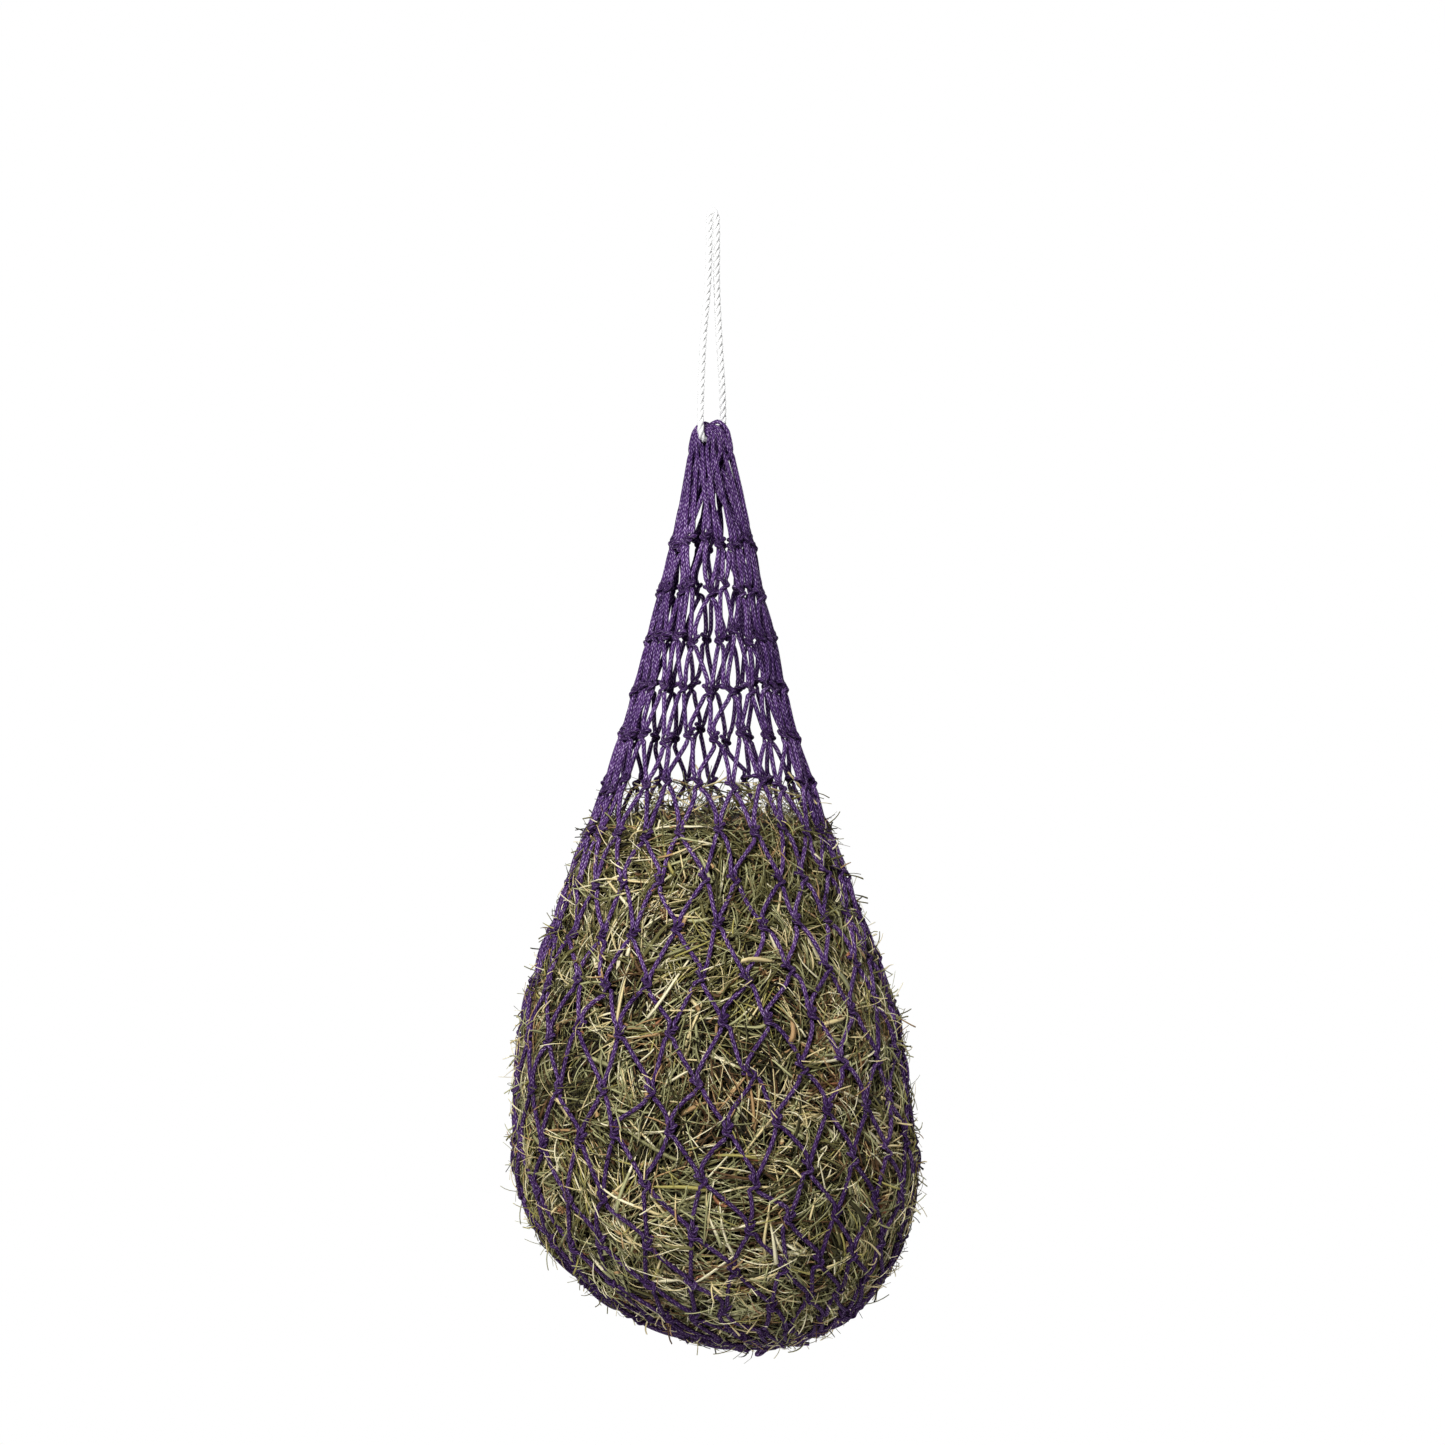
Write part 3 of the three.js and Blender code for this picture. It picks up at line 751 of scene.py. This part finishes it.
def leg(start, before, end, after, bow):
    """Cord between two knots: leaves along one, arrives along the other, bowed by the hay."""
    reach = np.linalg.norm(end - start)
    count = max(int(reach / LEG_SPACING), 3)
    t = np.linspace(0, 1, count + 1)[1:-1, None]
    a, b = unit(start - before) * LEG_PULL * reach, unit(after - end) * LEG_PULL * reach
    hermite = ((2 * t ** 3 - 3 * t ** 2 + 1) * start + (t ** 3 - 2 * t ** 2 + t) * a
               + (3 * t ** 2 - 2 * t ** 3) * end + (t ** 3 - t ** 2) * b)
    return hermite + 4 * t * (1 - t) * bow


def assemble(knots, filled):
    """Stretches of a closed route: knots, each a route, its radii and its way out, and legs between them.

    filled is 1 where hay pushes the legs out, 0 where they hang free.
    """
    route, radii = [], []
    for (points, widths, out), (following, _, _) in zip(knots, knots[1:] + knots[:1]):
        aside = np.cross(out, unit(following[0] - points[-1]))
        bow = out * rng.normal(0.9 * filled, 0.5 + 0.4 * filled) + aside * rng.normal(0, 0.8 + 0.5 * filled)
        link = leg(points[-1], points[-2], following[0], following[1], bow)
        route += [points, link]
        radii += [widths, np.full(len(link), CORD_R)]
    return route, radii


def painted_cord_shade(route, radii):
    """Painted shade at each point of a closed tube's surface: in a knot's squeezed middle, and more and more
    towards the foot.
    """
    # Painted shade in each knot, growing as the cord is squeezed thinner
    knot_painted_shade = (CORD_R - radii) / (CORD_R - KNOT_CORD_R)
    # Painted shade, growing towards the foot
    foot_painted_shade = (FOOT_PAINTED_SHADE_FROM_Z - route[:, 2]) / (FOOT_PAINTED_SHADE_FROM_Z - BELLY_Z + BELLY_DEPTH)
    return np.repeat(np.clip(np.maximum(knot_painted_shade, FOOT_PAINTED_SHADE * foot_painted_shade), 0, 1), CORD_SIDES)


def make_netting(name, node, route, radii, thinning=1.0):
    """A closed round of cord from stretches of route and their radii, in place of a CAD node."""
    route, radii = np.vstack(route), np.concatenate(radii)
    verts, faces, uvs = tube(route, radii * thinning, CORD_SIDES)
    netting = new_object(name, verts, faces, [CORD], "bag", uvs=uvs, painted_shade=painted_cord_shade(route, radii))
    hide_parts(node)


def make_course(number):
    """One round of mesh, tied to the row above and holding the row below."""
    top, bottom = number - 1, number
    from_other_side = top % 2
    knots = []
    for i in range(MESHES):
        lower = (i + from_other_side) % MESHES
        wrap_radii = WRAP_RADII[::-1] if from_other_side else WRAP_RADII
        knots.append((placed(KNOT_WRAP, top, i, from_other_side), wrap_radii, PLACES[top][3][i]))
        knots.append((placed(KNOT_BIGHT, bottom, lower), BIGHT_RADII, PLACES[bottom][3][lower]))
    route, radii = assemble(knots, FILLED[number])
    make_netting(f"netting_{number:02d}", f"net_course_{number:02d}", route, radii, THINNING[number])


for number in range(1, COURSES + 1):
    make_course(number)

# ---- Top loops, bunched over the rope ----

STACKS = [2, 3, 3, 4, 4, 3, 3, 2]   # loops on top of one another, along the rope
STACK_PITCH = 4.2                   # from one stack to the next
LAYER_PITCH = 3.5                   # from one loop to the one over it
CROWN_SHIFT = -2.5                  # the bunch sits towards the front of the run
TIGHT_CORD_R = 2.0                  # cord squeezed in the bunch
PACKED = 0.92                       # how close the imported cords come, of their width
LEVELS = 14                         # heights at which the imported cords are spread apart
SPREADING_STEPS, SPREADING = 60, 0.3   # and how far at each step, of what they should
TIGHTENS_FROM_Z, TIGHT_FROM_Z = -290.0, -250.0   # from slack cord up to the bunch's tight cord
HEAD_DROP = 10.0                    # the arches end this far below the rope's middle
HEAD_INNER, HEAD_STEP = 2.2, 5.6    # where the inmost arch ends to one side, and each next one
ARCH_POINTS = 11
ARCH_SHARPNESS = 1.45               # 2 is a round arch over the rope, 1 a sharp one
ARCH_LEAN = 1.8                     # how far an arch's peak lies to one side, for each loop under it
BUNCH_TWIST = math.radians(13)      # from the bunch's arches to its lowest knots


def twisted(way):
    """The direction at the bunch's lowest knots of what lies in the direction way at its arches."""
    x, y, z = way
    c, s = math.cos(BUNCH_TWIST), math.sin(BUNCH_TWIST)
    return np.array([x * c - y * s, x * s + y * c, z])


def top_loop_places():
    """For each loop of the first round, its place along the rope, its layer and the way its stack leans."""
    origins = PLACES[0][0]
    middles = (origins + np.roll(origins, -1, 0)) / 2 - BIGHT
    order = np.argsort(middles @ twisted(bight_way))
    along, layer, lean = np.empty(MESHES), np.empty(MESHES), np.empty(MESHES)
    rank = 0
    for stack, count in enumerate(STACKS):
        centre = CROWN_SHIFT + (stack - (len(STACKS) - 1) / 2) * STACK_PITCH
        for place in rng.permutation(count):
            along[order[rank]] = centre + rng.normal(0, 0.3)
            layer[order[rank]] = place
            lean[order[rank]] = 1 if stack % 2 else -1
            rank += 1
    return along, layer, lean


def spanning(spots, feet, heads, t):
    """Spots stretched to reach as far across and along as the feet and heads do, by their share t."""
    low = feet.min(0) * (1 - t) + heads.min(0) * t
    high = feet.max(0) * (1 - t) + heads.max(0) * t
    share = (spots - spots.min(0)) / (spots.max(0) - spots.min(0))
    return low + share * (high - low)


def bunch_levels(feet, heads):
    """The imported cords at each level, from the first row of knots to the bunch's arches."""
    levels, reach, itself = [feet], 2 * TIGHT_CORD_R * PACKED, np.eye(len(feet), dtype=bool)
    for t in np.arange(1, LEVELS) / LEVELS:
        spots = feet * (1 - t) + heads * t
        for _ in range(SPREADING_STEPS):
            spots[:, :2] = push_apart(spots[:, :2], reach, SPREADING, itself)
        levels.append(spots)
    stack = np.array(levels + [heads])
    for _ in range(3):
        stack[1:-1, :, :2] = (stack[:-2, :, :2] + 2 * stack[1:-1, :, :2] + stack[2:, :, :2]) / 4
    for k in range(1, LEVELS):
        stack[k, :, :2] = spanning(stack[k, :, :2], feet[:, :2], heads[:, :2], k / LEVELS)
    return stack


def arch(along, layer, way, lean):
    """One loop's arch over the rope, from the side that way points away from."""
    angles = np.linspace(0.1 * math.pi, 0.9 * math.pi, ARCH_POINTS)
    places = along + (rng.normal(0, 0.25, ARCH_POINTS) + rng.normal(0, 0.6))
    aside = lean * ARCH_LEAN * layer + rng.normal(0, 0.5)
    rise = 1 + rng.normal(0, 0.04)
    power = 2 / (2 - (2 - ARCH_SHARPNESS) * min(layer / 2, 1))
    radius = ROPE_R + 0.4 + TIGHT_CORD_R + layer * LAYER_PITCH
    across = radius * np.sign(np.cos(angles)) * np.abs(np.cos(angles)) ** power
    height = radius * rise * np.sin(angles) ** power
    return [bight_point(place, aside * math.sin(a) - way * x, h)
            for place, a, x, h in zip(places, angles, across, height)]


def make_top_loops():
    along, layer, stack_lean = top_loop_places()
    knots = [placed(KNOT_BIGHT, 0, i) for i in range(MESHES)]
    starts, ends = np.array([k[-1] for k in knots]), np.array([k[0] for k in knots[1:] + knots[:1]])
    way = np.where((ends - starts) @ twisted(bight_side) > 0, 1.0, -1.0)
    sides = way * (HEAD_INNER + HEAD_STEP * layer)
    heads = np.array([bight_point(a, side, -HEAD_DROP)
                      for a, side in zip(np.tile(along, 2), np.concatenate([-sides, sides]))])
    stack = bunch_levels(np.vstack([starts, ends]), heads)
    route, radii = [], []
    for i in range(MESHES):
        up, down = stack[1:, i], stack[::-1, i + MESHES][:-1]
        over = arch(along[i], layer[i], way[i], stack_lean[i])
        loop = smooth_path(np.vstack([starts[i], up, over, down, ends[i]]), 2.2)[1:-1]
        route += [knots[i], loop]
        radii += [BIGHT_RADII, np.interp(loop[:, 2], [TIGHTENS_FROM_Z, TIGHT_FROM_Z], [CORD_R, TIGHT_CORD_R])]
    make_netting("netting_top_loops", "top_loops", route, radii)


make_top_loops()

# ---- Foot: the last loops gathered on a small ring of cord ----

foot_out = np.array([math.sin(FOOT_TILT), 0, -math.cos(FOOT_TILT)])
foot_along = np.array([math.cos(FOOT_TILT), 0, math.sin(FOOT_TILT)])
foot_across = np.cross(foot_out, foot_along)
foot_middle = bag_point(FOOT_S, 0.0)
RING_R = 6.5
RING_CORD_R = 2.0
FOOT_CORD_SHARE = 0.85    # the cord in the last loops, as a share of slack cord
FOOT_LAYER_PITCH = 3.4    # the last loops lie in three layers
LOOP_HALF_WIDTH = 0.11    # radians
RING_TURNS = 1.8


def foot_point(angle, reach, out):
    """A point near the foot, by its angle round the ring, how far from its middle and how far out."""
    way = foot_along * math.cos(angle) + foot_across * math.sin(angle)
    return foot_middle + way * reach + foot_out * out


def make_foot_loops():
    knots = [placed(KNOT_WRAP, COURSES, i) for i in range(MESHES)]
    route, radii = [], []
    for i, (knot, following) in enumerate(zip(knots, knots[1:] + knots[:1])):
        middle = (knot[-1] + following[0]) / 2 - foot_middle
        angle = math.atan2(middle @ foot_across, middle @ foot_along)
        before, after = angle - LOOP_HALF_WIDTH, angle + LOOP_HALF_WIDTH
        layer = (i % 3 - 1) * FOOT_LAYER_PITCH
        turn = [foot_point(before, 19, 1.5 + layer * 0.6), foot_point(before, 10.5, 1.0 + layer),
                foot_point(angle, RING_R - 3.6, 0.4 + layer),
                foot_point(after, 10.5, -0.6 + layer), foot_point(after, 19, 0.2 + layer * 0.6)]
        loop = smooth_path(np.vstack([knot[-1], turn, following[0]]), 2.4)[1:-1]
        route += [knot, loop]
        radii += [WRAP_RADII, np.full(len(loop), CORD_R * FOOT_CORD_SHARE)]
    make_netting("netting_foot_loops", "foot_loops", route, radii, THINNING[COURSES])


def make_foot_cord():
    """The gathering cord: nearly two turns through the last loops, a short free loop and a tail."""
    ring = [foot_point(a, RING_R + 0.9 * math.sin(2 * a), 2.6 * math.sin(3.5 * a))
            for a in np.linspace(0.3, 0.3 + RING_TURNS * 2 * math.pi, 44)]
    lug = [foot_point(3.3, 9, 5.5), foot_point(3.4, 15, 5.5), foot_point(3.15, 22, 8.5),
           foot_point(2.95, 26, 7.5), foot_point(2.9, 22, 4.5), foot_point(3.1, 13, 4.8)]
    tail = [foot_point(-0.5, 8, 4), foot_point(-0.35, 13, 7), foot_point(-0.2, 18, 6.5),
            foot_point(-0.12, 23, 7.5)]
    parts = []
    for path, radius in ((ring, RING_CORD_R), (lug, RING_CORD_R * 0.9), (tail, RING_CORD_R * 0.9)):
        parts.append(tube(smooth_path(np.array(path), 1.6), radius, CORD_SIDES, closed=False))
    verts, faces, uvs = join(parts)
    cord = new_object("foot_gather_cord", verts, faces, [CORD], "bag", uvs=uvs)
    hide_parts("foot_cord")


make_foot_loops()
make_foot_cord()

# ---- Hay: a mass painted dark as its shade, and thousands of cut stems and leaves over it ----

HAY_TOP_S = station_at_height(HAY_TOP_Z)
HAY_INSET = 13.0          # the mass, painted dark as shade, lies this far inside the netting
HAY_DOME = 10.0           # how far the middle of its top rises over the rim
MASS_SIDES, TOP_RINGS, SIDE_RINGS = 120, 14, 130
MASS_LUMPS, LUMP_SIZE = 4.5, 26
TUFTS = 460               # places where the stems lie the same way
TUFT_UNRULINESS = 0.32    # radians
LOOSE_SHARE = 0.4         # stems that lie any way
TUFT_SHADE_SHARE = 0.38   # stems of their tuft's shade
SWELL, SWELL_SIZE = 3.2, 55   # how far the hay's surface rises and falls from place to place
BULGE = 5.0               # how far the hay swells out in the middle of each mesh
REACH_LIMIT = 19.0        # no stem stands further out of the bag than this
HAY_HIGHEST_Z = -440.0    # and none stands higher
BLADE_STATIONS, BLADE_SIDES = 8, 4
BLADE_POINTS = BLADE_STATIONS * BLADE_SIDES
BLADES_IN_PIECE = 3200
TWO_TONE = 0.4            # share of the blades whose tip is another shade
LEAFY_SHARE = 0.3         # blades that are flat, the others are stalks
LEAF_THICK, STALK_THICK = 0.35, 0.75    # a leaf's thickness, and a stalk's as a share of its width
STALK_WIDTH = (0.6, 1.45)
KINKED_SHARE, KINK = 0.1, 4   # share of the stems that bend more, and how many times as much
PAINTED_SHADE_FROM_Z = -740.0   # from here up to the hay's top more and more stems are olive, as painted shade
TOP_PAINTED_SHADE = 0.42        # their share at the top


def lumps(points, size):
    """Smooth random heights, mostly between -1 and 1, over points in space."""
    total = np.zeros(len(points))
    for k in range(3):
        waves = rng.normal(0, 1, (5, 3)) * (2.2 ** k) / size
        total += np.sin(points @ waves.T + rng.uniform(0, 6.28, 5)).sum(-1) / (2.2 * 1.7 ** k)
    return total / 2.2


def make_hay_mass():
    """The mass painted dark as shade: rings from the middle of the open top out to its rim and down to the
    foot.
    """
    angles = 2 * math.pi * np.arange(MASS_SIDES) / MASS_SIDES
    top = [(reach, HAY_TOP_S) for reach in np.linspace(0.05, 0.95, TOP_RINGS)]
    side = [(1.0, s) for s in np.linspace(HAY_TOP_S, FOOT_S - 2, SIDE_RINGS)]
    rings = []
    for reach, s in top + side:
        points = bag_point(s, angles, HAY_INSET)
        middle = points.mean(0)
        rings.append(middle + (points - middle) * reach + [0, 0, HAY_DOME * (1 - reach ** 2)])
    ends = [rings[0].mean(0), rings[-1].mean(0)]
    points = np.vstack(rings)
    outwards = unit((points - [0, 0, BELLY_Z]) * [1, 1, 0.6])
    points = points + outwards * (MASS_LUMPS * lumps(points, LUMP_SIZE))[:, None]
    faces = [np.roll(part[:, ::-1], 1, 1)
             for part in (skin(len(rings), MASS_SIDES), end_fans(len(rings), MASS_SIDES))]
    mass = new_object("hay_mass", np.vstack([points, ends]), faces, [HAY_PAINTED_SHADE], "bag")
    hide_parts("hay_fill")


TUFT_POINTS = bag_point(rng.uniform(HAY_TOP_S, FOOT_S, TUFTS), rng.uniform(0, 2 * math.pi, TUFTS))
TUFT_LIE = rng.uniform(0, math.pi, TUFTS)
TUFT_SHADE = rng.choice(len(GRASS), TUFTS, p=EVEN_MIX)


def even_places(count):
    """Random places spread evenly over the bag's surface."""
    s = np.linspace(HAY_TOP_S, FOOT_S, 800)
    share = np.cumsum(radius_at(s) + 3)
    share = (share - share[0]) / (share[-1] - share[0])
    return np.interp(rng.uniform(0, 1, count), share, s), rng.uniform(0, 2 * math.pi, count)


def bulge_at(s, angles):
    """How far the hay swells out through the mesh: nothing at a cord, most in the middle of a diamond."""
    across = (angles - PHASE + math.pi / 2) * MESHES / (2 * math.pi)
    down = np.interp(s, ROW_S, np.arange(COURSES + 1)) / 2
    return BULGE * np.abs(np.sin(math.pi * (across - down)) * np.sin(math.pi * (across + down)))


def flat_ways(along, up, lie):
    """Directions on the surface, at an angle to the rows."""
    return along * np.cos(lie)[:, None] + up * np.sin(lie)[:, None]


def any_outs(ways):
    """Random directions across ways."""
    return unit(np.cross(ways, unit(rng.normal(0, 1, ways.shape))))


def stem_lie(places):
    """Angle at which each stem lies on the surface, with its tuft or any way, and its tuft."""
    nearest = np.argmin(((places[:, None, :] - TUFT_POINTS[None, :, :]) ** 2).sum(-1), axis=1)
    lie = TUFT_LIE[nearest] + rng.normal(0, TUFT_UNRULINESS, len(places))
    loose = rng.uniform(0, 1, len(places)) < LOOSE_SHARE
    return np.where(loose, rng.uniform(0, math.pi, len(places)), lie), nearest


def blades(centres, ways, outs, lengths, widths, thick, bends, curls, taper):
    """Points of closed, bent, tapered blades. Every array has one row for each blade.

    bends: to one side as an arc, to one side as a hook, and outwards.
    curls: how far it is rolled over, and how much more from end to end.
    """
    t = np.linspace(-0.5, 0.5, BLADE_STATIONS)
    sides = unit(np.cross(outs, ways))
    ups = np.cross(ways, sides)
    arc, hook = (t ** 2 - 1 / 12)[None, :], (t ** 3 * 4 - t * 0.6)[None, :]
    aside = lengths[:, None] * (bends[:, :1] * arc + bends[:, 1:2] * hook)
    outwards = lengths[:, None] * bends[:, 2:3] * arc
    roll = curls[:, :1] + curls[:, 1:2] * t[None, :]
    narrow = 1 - taper[:, None] * (t[None, :] + 0.5) ** 2 * 0.8
    half_width, half_thick = widths[:, None] * narrow / 2, thick[:, None] * narrow / 2
    ways, sides, ups = ways[:, None, :], sides[:, None, :], ups[:, None, :]
    middle = centres[:, None, :] + ways * (lengths[:, None] * t)[:, :, None]
    middle = middle + sides * aside[:, :, None] + ups * outwards[:, :, None]
    across = (sides * np.cos(roll)[:, :, None] + ups * np.sin(roll)[:, :, None]) * half_width[:, :, None]
    over = (ups * np.cos(roll)[:, :, None] - sides * np.sin(roll)[:, :, None]) * half_thick[:, :, None]
    corners = np.stack([middle + across, middle + over, middle - across, middle - over], 2)
    return corners.reshape(-1, BLADE_POINTS, 3)


def within_reach(blade_points):
    """Which blades stay near the bag."""
    x, y, z = np.moveaxis(blade_points, -1, 0)
    radial = np.hypot(x - centre_at(z), y)
    neck = radial - radius_at_height(z)
    belly = np.hypot(radial, (z - BELLY_Z) * BELLY_R / BELLY_DEPTH) - BELLY_R
    reach = np.where(z > BELLY_Z, neck, belly)
    return ((reach < REACH_LIMIT) & (z < HAY_HIGHEST_Z)).all(1)


def make_blades(name, shades, centres, *shape):
    """Blades as objects of at most BLADES_IN_PIECE. Some blades change shade along their length."""
    points = blades(centres, *shape)
    kept = within_reach(points)
    points, shades = points[kept], shades[kept]
    near_end, far_end = [[3, 2, 1, 0]], np.arange(BLADE_POINTS - BLADE_SIDES, BLADE_POINTS)[None, :]
    blade = np.vstack([skin(BLADE_STATIONS, BLADE_SIDES), near_end, far_end])
    stretches = np.append(np.repeat(np.arange(BLADE_STATIONS - 1), BLADE_SIDES), [0, BLADE_STATIONS - 2])
    two_tone = rng.uniform(0, 1, len(shades)) < TWO_TONE
    change = np.where(two_tone, rng.integers(2, 6, len(shades)), BLADE_STATIONS)
    slots = np.where(stretches[None, :] >= change[:, None], DRIER[shades][:, None], shades[:, None])
    pieces = max(math.ceil(len(points) / BLADES_IN_PIECE), 1)
    for k, share in enumerate(np.array_split(np.arange(len(points)), pieces)):
        faces = (blade[None] + (np.arange(len(share)) * BLADE_POINTS)[:, None, None]).reshape(-1, 4)
        piece = new_object(f"{name}_{k + 1}", points[share].reshape(-1, 3), [faces], GRASS_MATERIALS, "bag",
                           face_slots=slots[share].reshape(-1))


def scatter(name, count, depth, length, width, tilt, mixture, wild=1.0):
    """Stems over the bag. depth is the range out of the netting's surface, width the widest leaf,
    tilt how far they stand up, wild how much they bend on top of following the bag's curve.
    """
    s, angles = even_places(count)
    along, up, out = bag_frame(s, angles)
    bulge = bulge_at(s, angles)
    swell = SWELL * np.clip(lumps(bag_point(s, angles), SWELL_SIZE), -1, 0.5)
    centres = bag_point(s, angles) + out * (rng.uniform(*depth, count) + bulge + swell)[:, None]
    lie, tuft = stem_lie(centres)
    rise = np.clip(rng.normal(0, tilt, count), -1.2, 1.2)
    ways = unit(flat_ways(along, up, lie) + out * np.tan(rise)[:, None])
    lengths = length[0] + (length[1] - length[0]) * rng.beta(1.6, 2.6, count)
    leafy = rng.uniform(0, 1, count) < LEAFY_SHARE
    widths = np.where(leafy, rng.uniform(1.6, width, count), rng.uniform(*STALK_WIDTH, count))
    thick = np.where(leafy, LEAF_THICK, widths * STALK_THICK)
    bends = rng.normal(0, [0.1, 0.05, 0.04], (count, 3)) * wild
    bends[rng.uniform(0, 1, count) < KINKED_SHARE, :2] *= KINK
    # Both ends bend in, round the bag and down to the cords of their mesh
    bends[:, 2] -= lengths / (2 * BELLY_R) + 4 * bulge / lengths
    curls = np.stack([rng.normal(0, 0.5, count), rng.normal(0, 0.9, count) * leafy], -1)
    taper = np.where(leafy, rng.uniform(0.4, 1.0, count), rng.uniform(0, 0.5, count))
    shades = rng.choice(len(GRASS), count, p=mixture)
    shades = np.where(rng.uniform(0, 1, count) < TUFT_SHADE_SHARE, TUFT_SHADE[tuft], shades)
    # Olive stems more and more towards the top: painted shade
    highness = np.clip((centres[:, 2] - PAINTED_SHADE_FROM_Z) / (HAY_TOP_Z - PAINTED_SHADE_FROM_Z), 0, 1)
    shades[rng.uniform(0, 1, count) < TOP_PAINTED_SHADE * highness] = SHADES["olive"]
    make_blades(name, shades, centres, ways, out, lengths, widths, thick, bends, curls, taper)


def scatter_top(name, count, low, high, length, mixture):
    """Stems heaped on the hay's open top, low to high above HAY_TOP_Z in its middle, lying every way."""
    angles = rng.uniform(0, 2 * math.pi, count)
    reach = np.sqrt(rng.uniform(0, 1, count))
    z = HAY_TOP_Z + rng.uniform(low, high, count) - HAY_DOME * reach
    r = radius_at_height(z) * reach * 0.97
    centres = np.stack([r * np.cos(angles) + centre_at(z), r * np.sin(angles), z], -1)
    ways = unit(rng.normal(0, 1, (count, 3)) * [1, 1, 0.75])
    outs = any_outs(ways)
    lengths = rng.uniform(*length, count)
    widths, thick = rng.uniform(0.6, 2.2, count), rng.uniform(0.4, 0.8, count)
    bends = rng.normal(0, [0.25, 0.1, 0.2], (count, 3))
    curls = rng.normal(0, [0.5, 0.7], (count, 2))
    shades = rng.choice(len(GRASS), count, p=mixture)
    taper = rng.uniform(0, 0.8, count)
    make_blades(name, shades, centres, ways, outs, lengths, widths, thick, bends, curls, taper)


def scatter_leaves(name, count):
    """Broken brown and rusty leaf ends, wide and short."""
    s, angles = even_places(count)
    along, up, out = bag_frame(s, angles)
    centres = bag_point(s, angles) + out * rng.uniform(-6, 0.5, count)[:, None]
    lie = rng.uniform(0, math.pi, count)
    ways = unit(flat_ways(along, up, lie) + out * rng.normal(0, 0.3, count)[:, None])
    bends = rng.normal(0, [0.3, 0.2, 0.5], (count, 3))
    curls = rng.normal(0, [0.5, 1.2], (count, 2))
    shades = rng.choice(WITHERED, count, p=[0.35, 0.3, 0.35])
    lengths, widths = rng.uniform(8, 19, count), rng.uniform(2.6, 5.0, count)
    taper = rng.uniform(0.5, 1.0, count)
    make_blades(name, shades, centres, ways, out, lengths, widths, np.full(count, 0.4), bends, curls, taper)


# Seed heads that show at the front, by their x and z
FRONT_HEADS = [(46.8, -679.8), (-42.3, -623.0)]
BRISTLES = 70


def front_place(x, z):
    """Place on the front of the bag, down its side and round it, for an x and z above its widest row."""
    s = station_at_height(z)
    return s, -math.acos(np.clip((x - centre_at(z)) / radius_at(s), -1, 1))


def scatter_heads(name, count):
    """Seed heads: short bristles set thickly round a stem's end."""
    s, angles = even_places(count)
    s[:len(FRONT_HEADS)], angles[:len(FRONT_HEADS)] = np.array([front_place(x, z) for x, z in FRONT_HEADS]).T
    along, up, out = (np.repeat(v, BRISTLES, 0) for v in bag_frame(s, angles))
    middle = np.repeat(bag_point(s, angles), BRISTLES, 0) - out * 1.5
    axis = flat_ways(along, up, np.repeat(rng.uniform(0, 2 * math.pi, count), BRISTLES))
    size = np.repeat(rng.uniform(0.7, 1.1, count), BRISTLES)
    total = count * BRISTLES
    ways = unit(unit(rng.normal(0, 1, (total, 3))) + axis * 0.5)
    centres = middle + axis * (rng.uniform(-5, 5, total) * size)[:, None] + ways * (3.2 * size)[:, None]
    outs = any_outs(ways)
    shades = rng.choice(WITHERED, total, p=[0.15, 0.6, 0.25])
    lengths, widths = rng.uniform(3.5, 7, total) * size, rng.uniform(0.8, 1.5, total)
    straight, unrolled = np.zeros((total, 3)), np.zeros((total, 2))
    make_blades(name, shades, centres, ways, outs, lengths, widths, np.full(total, 0.6), straight, unrolled,
                np.full(total, 0.9))


make_hay_mass()
scatter("hay_deep", 6000, (-14.0, -9.5), (26, 90), 3.0, 0.08, DEEP_MIX)
scatter("hay_mid", 6200, (-11.0, -6.0), (24, 90), 3.2, 0.1, MIDDLE_MIX)
scatter("hay_outer", 5900, (-8.2, -3.6), (18, 80), 3.6, 0.1, OUTER_MIX)
scatter("hay_broad", 1500, (-7.4, -2.8), (20, 60), 5.2, 0.15, BROAD_MIX)
scatter("hay_stray", 2900, (-7.6, 0.0), (18, 56), 2.2, 0.45, OUTER_MIX, wild=1.6)
scatter("hay_spike", 1700, (-6.0, 2.2), (14, 40), 1.8, 0.95, OUTER_MIX, wild=2.2)
# The heap takes the middle layer's darker mix: painted shade on the hay's top
scatter_top("hay_heap", 2600, -14.0, 12.0, (18, 46), MIDDLE_MIX)
scatter_top("hay_wisp", 230, 8.0, 42.0, (20, 46), EVEN_MIX)
scatter_leaves("hay_leaf", 340)
scatter_heads("hay_seed_head", 16)
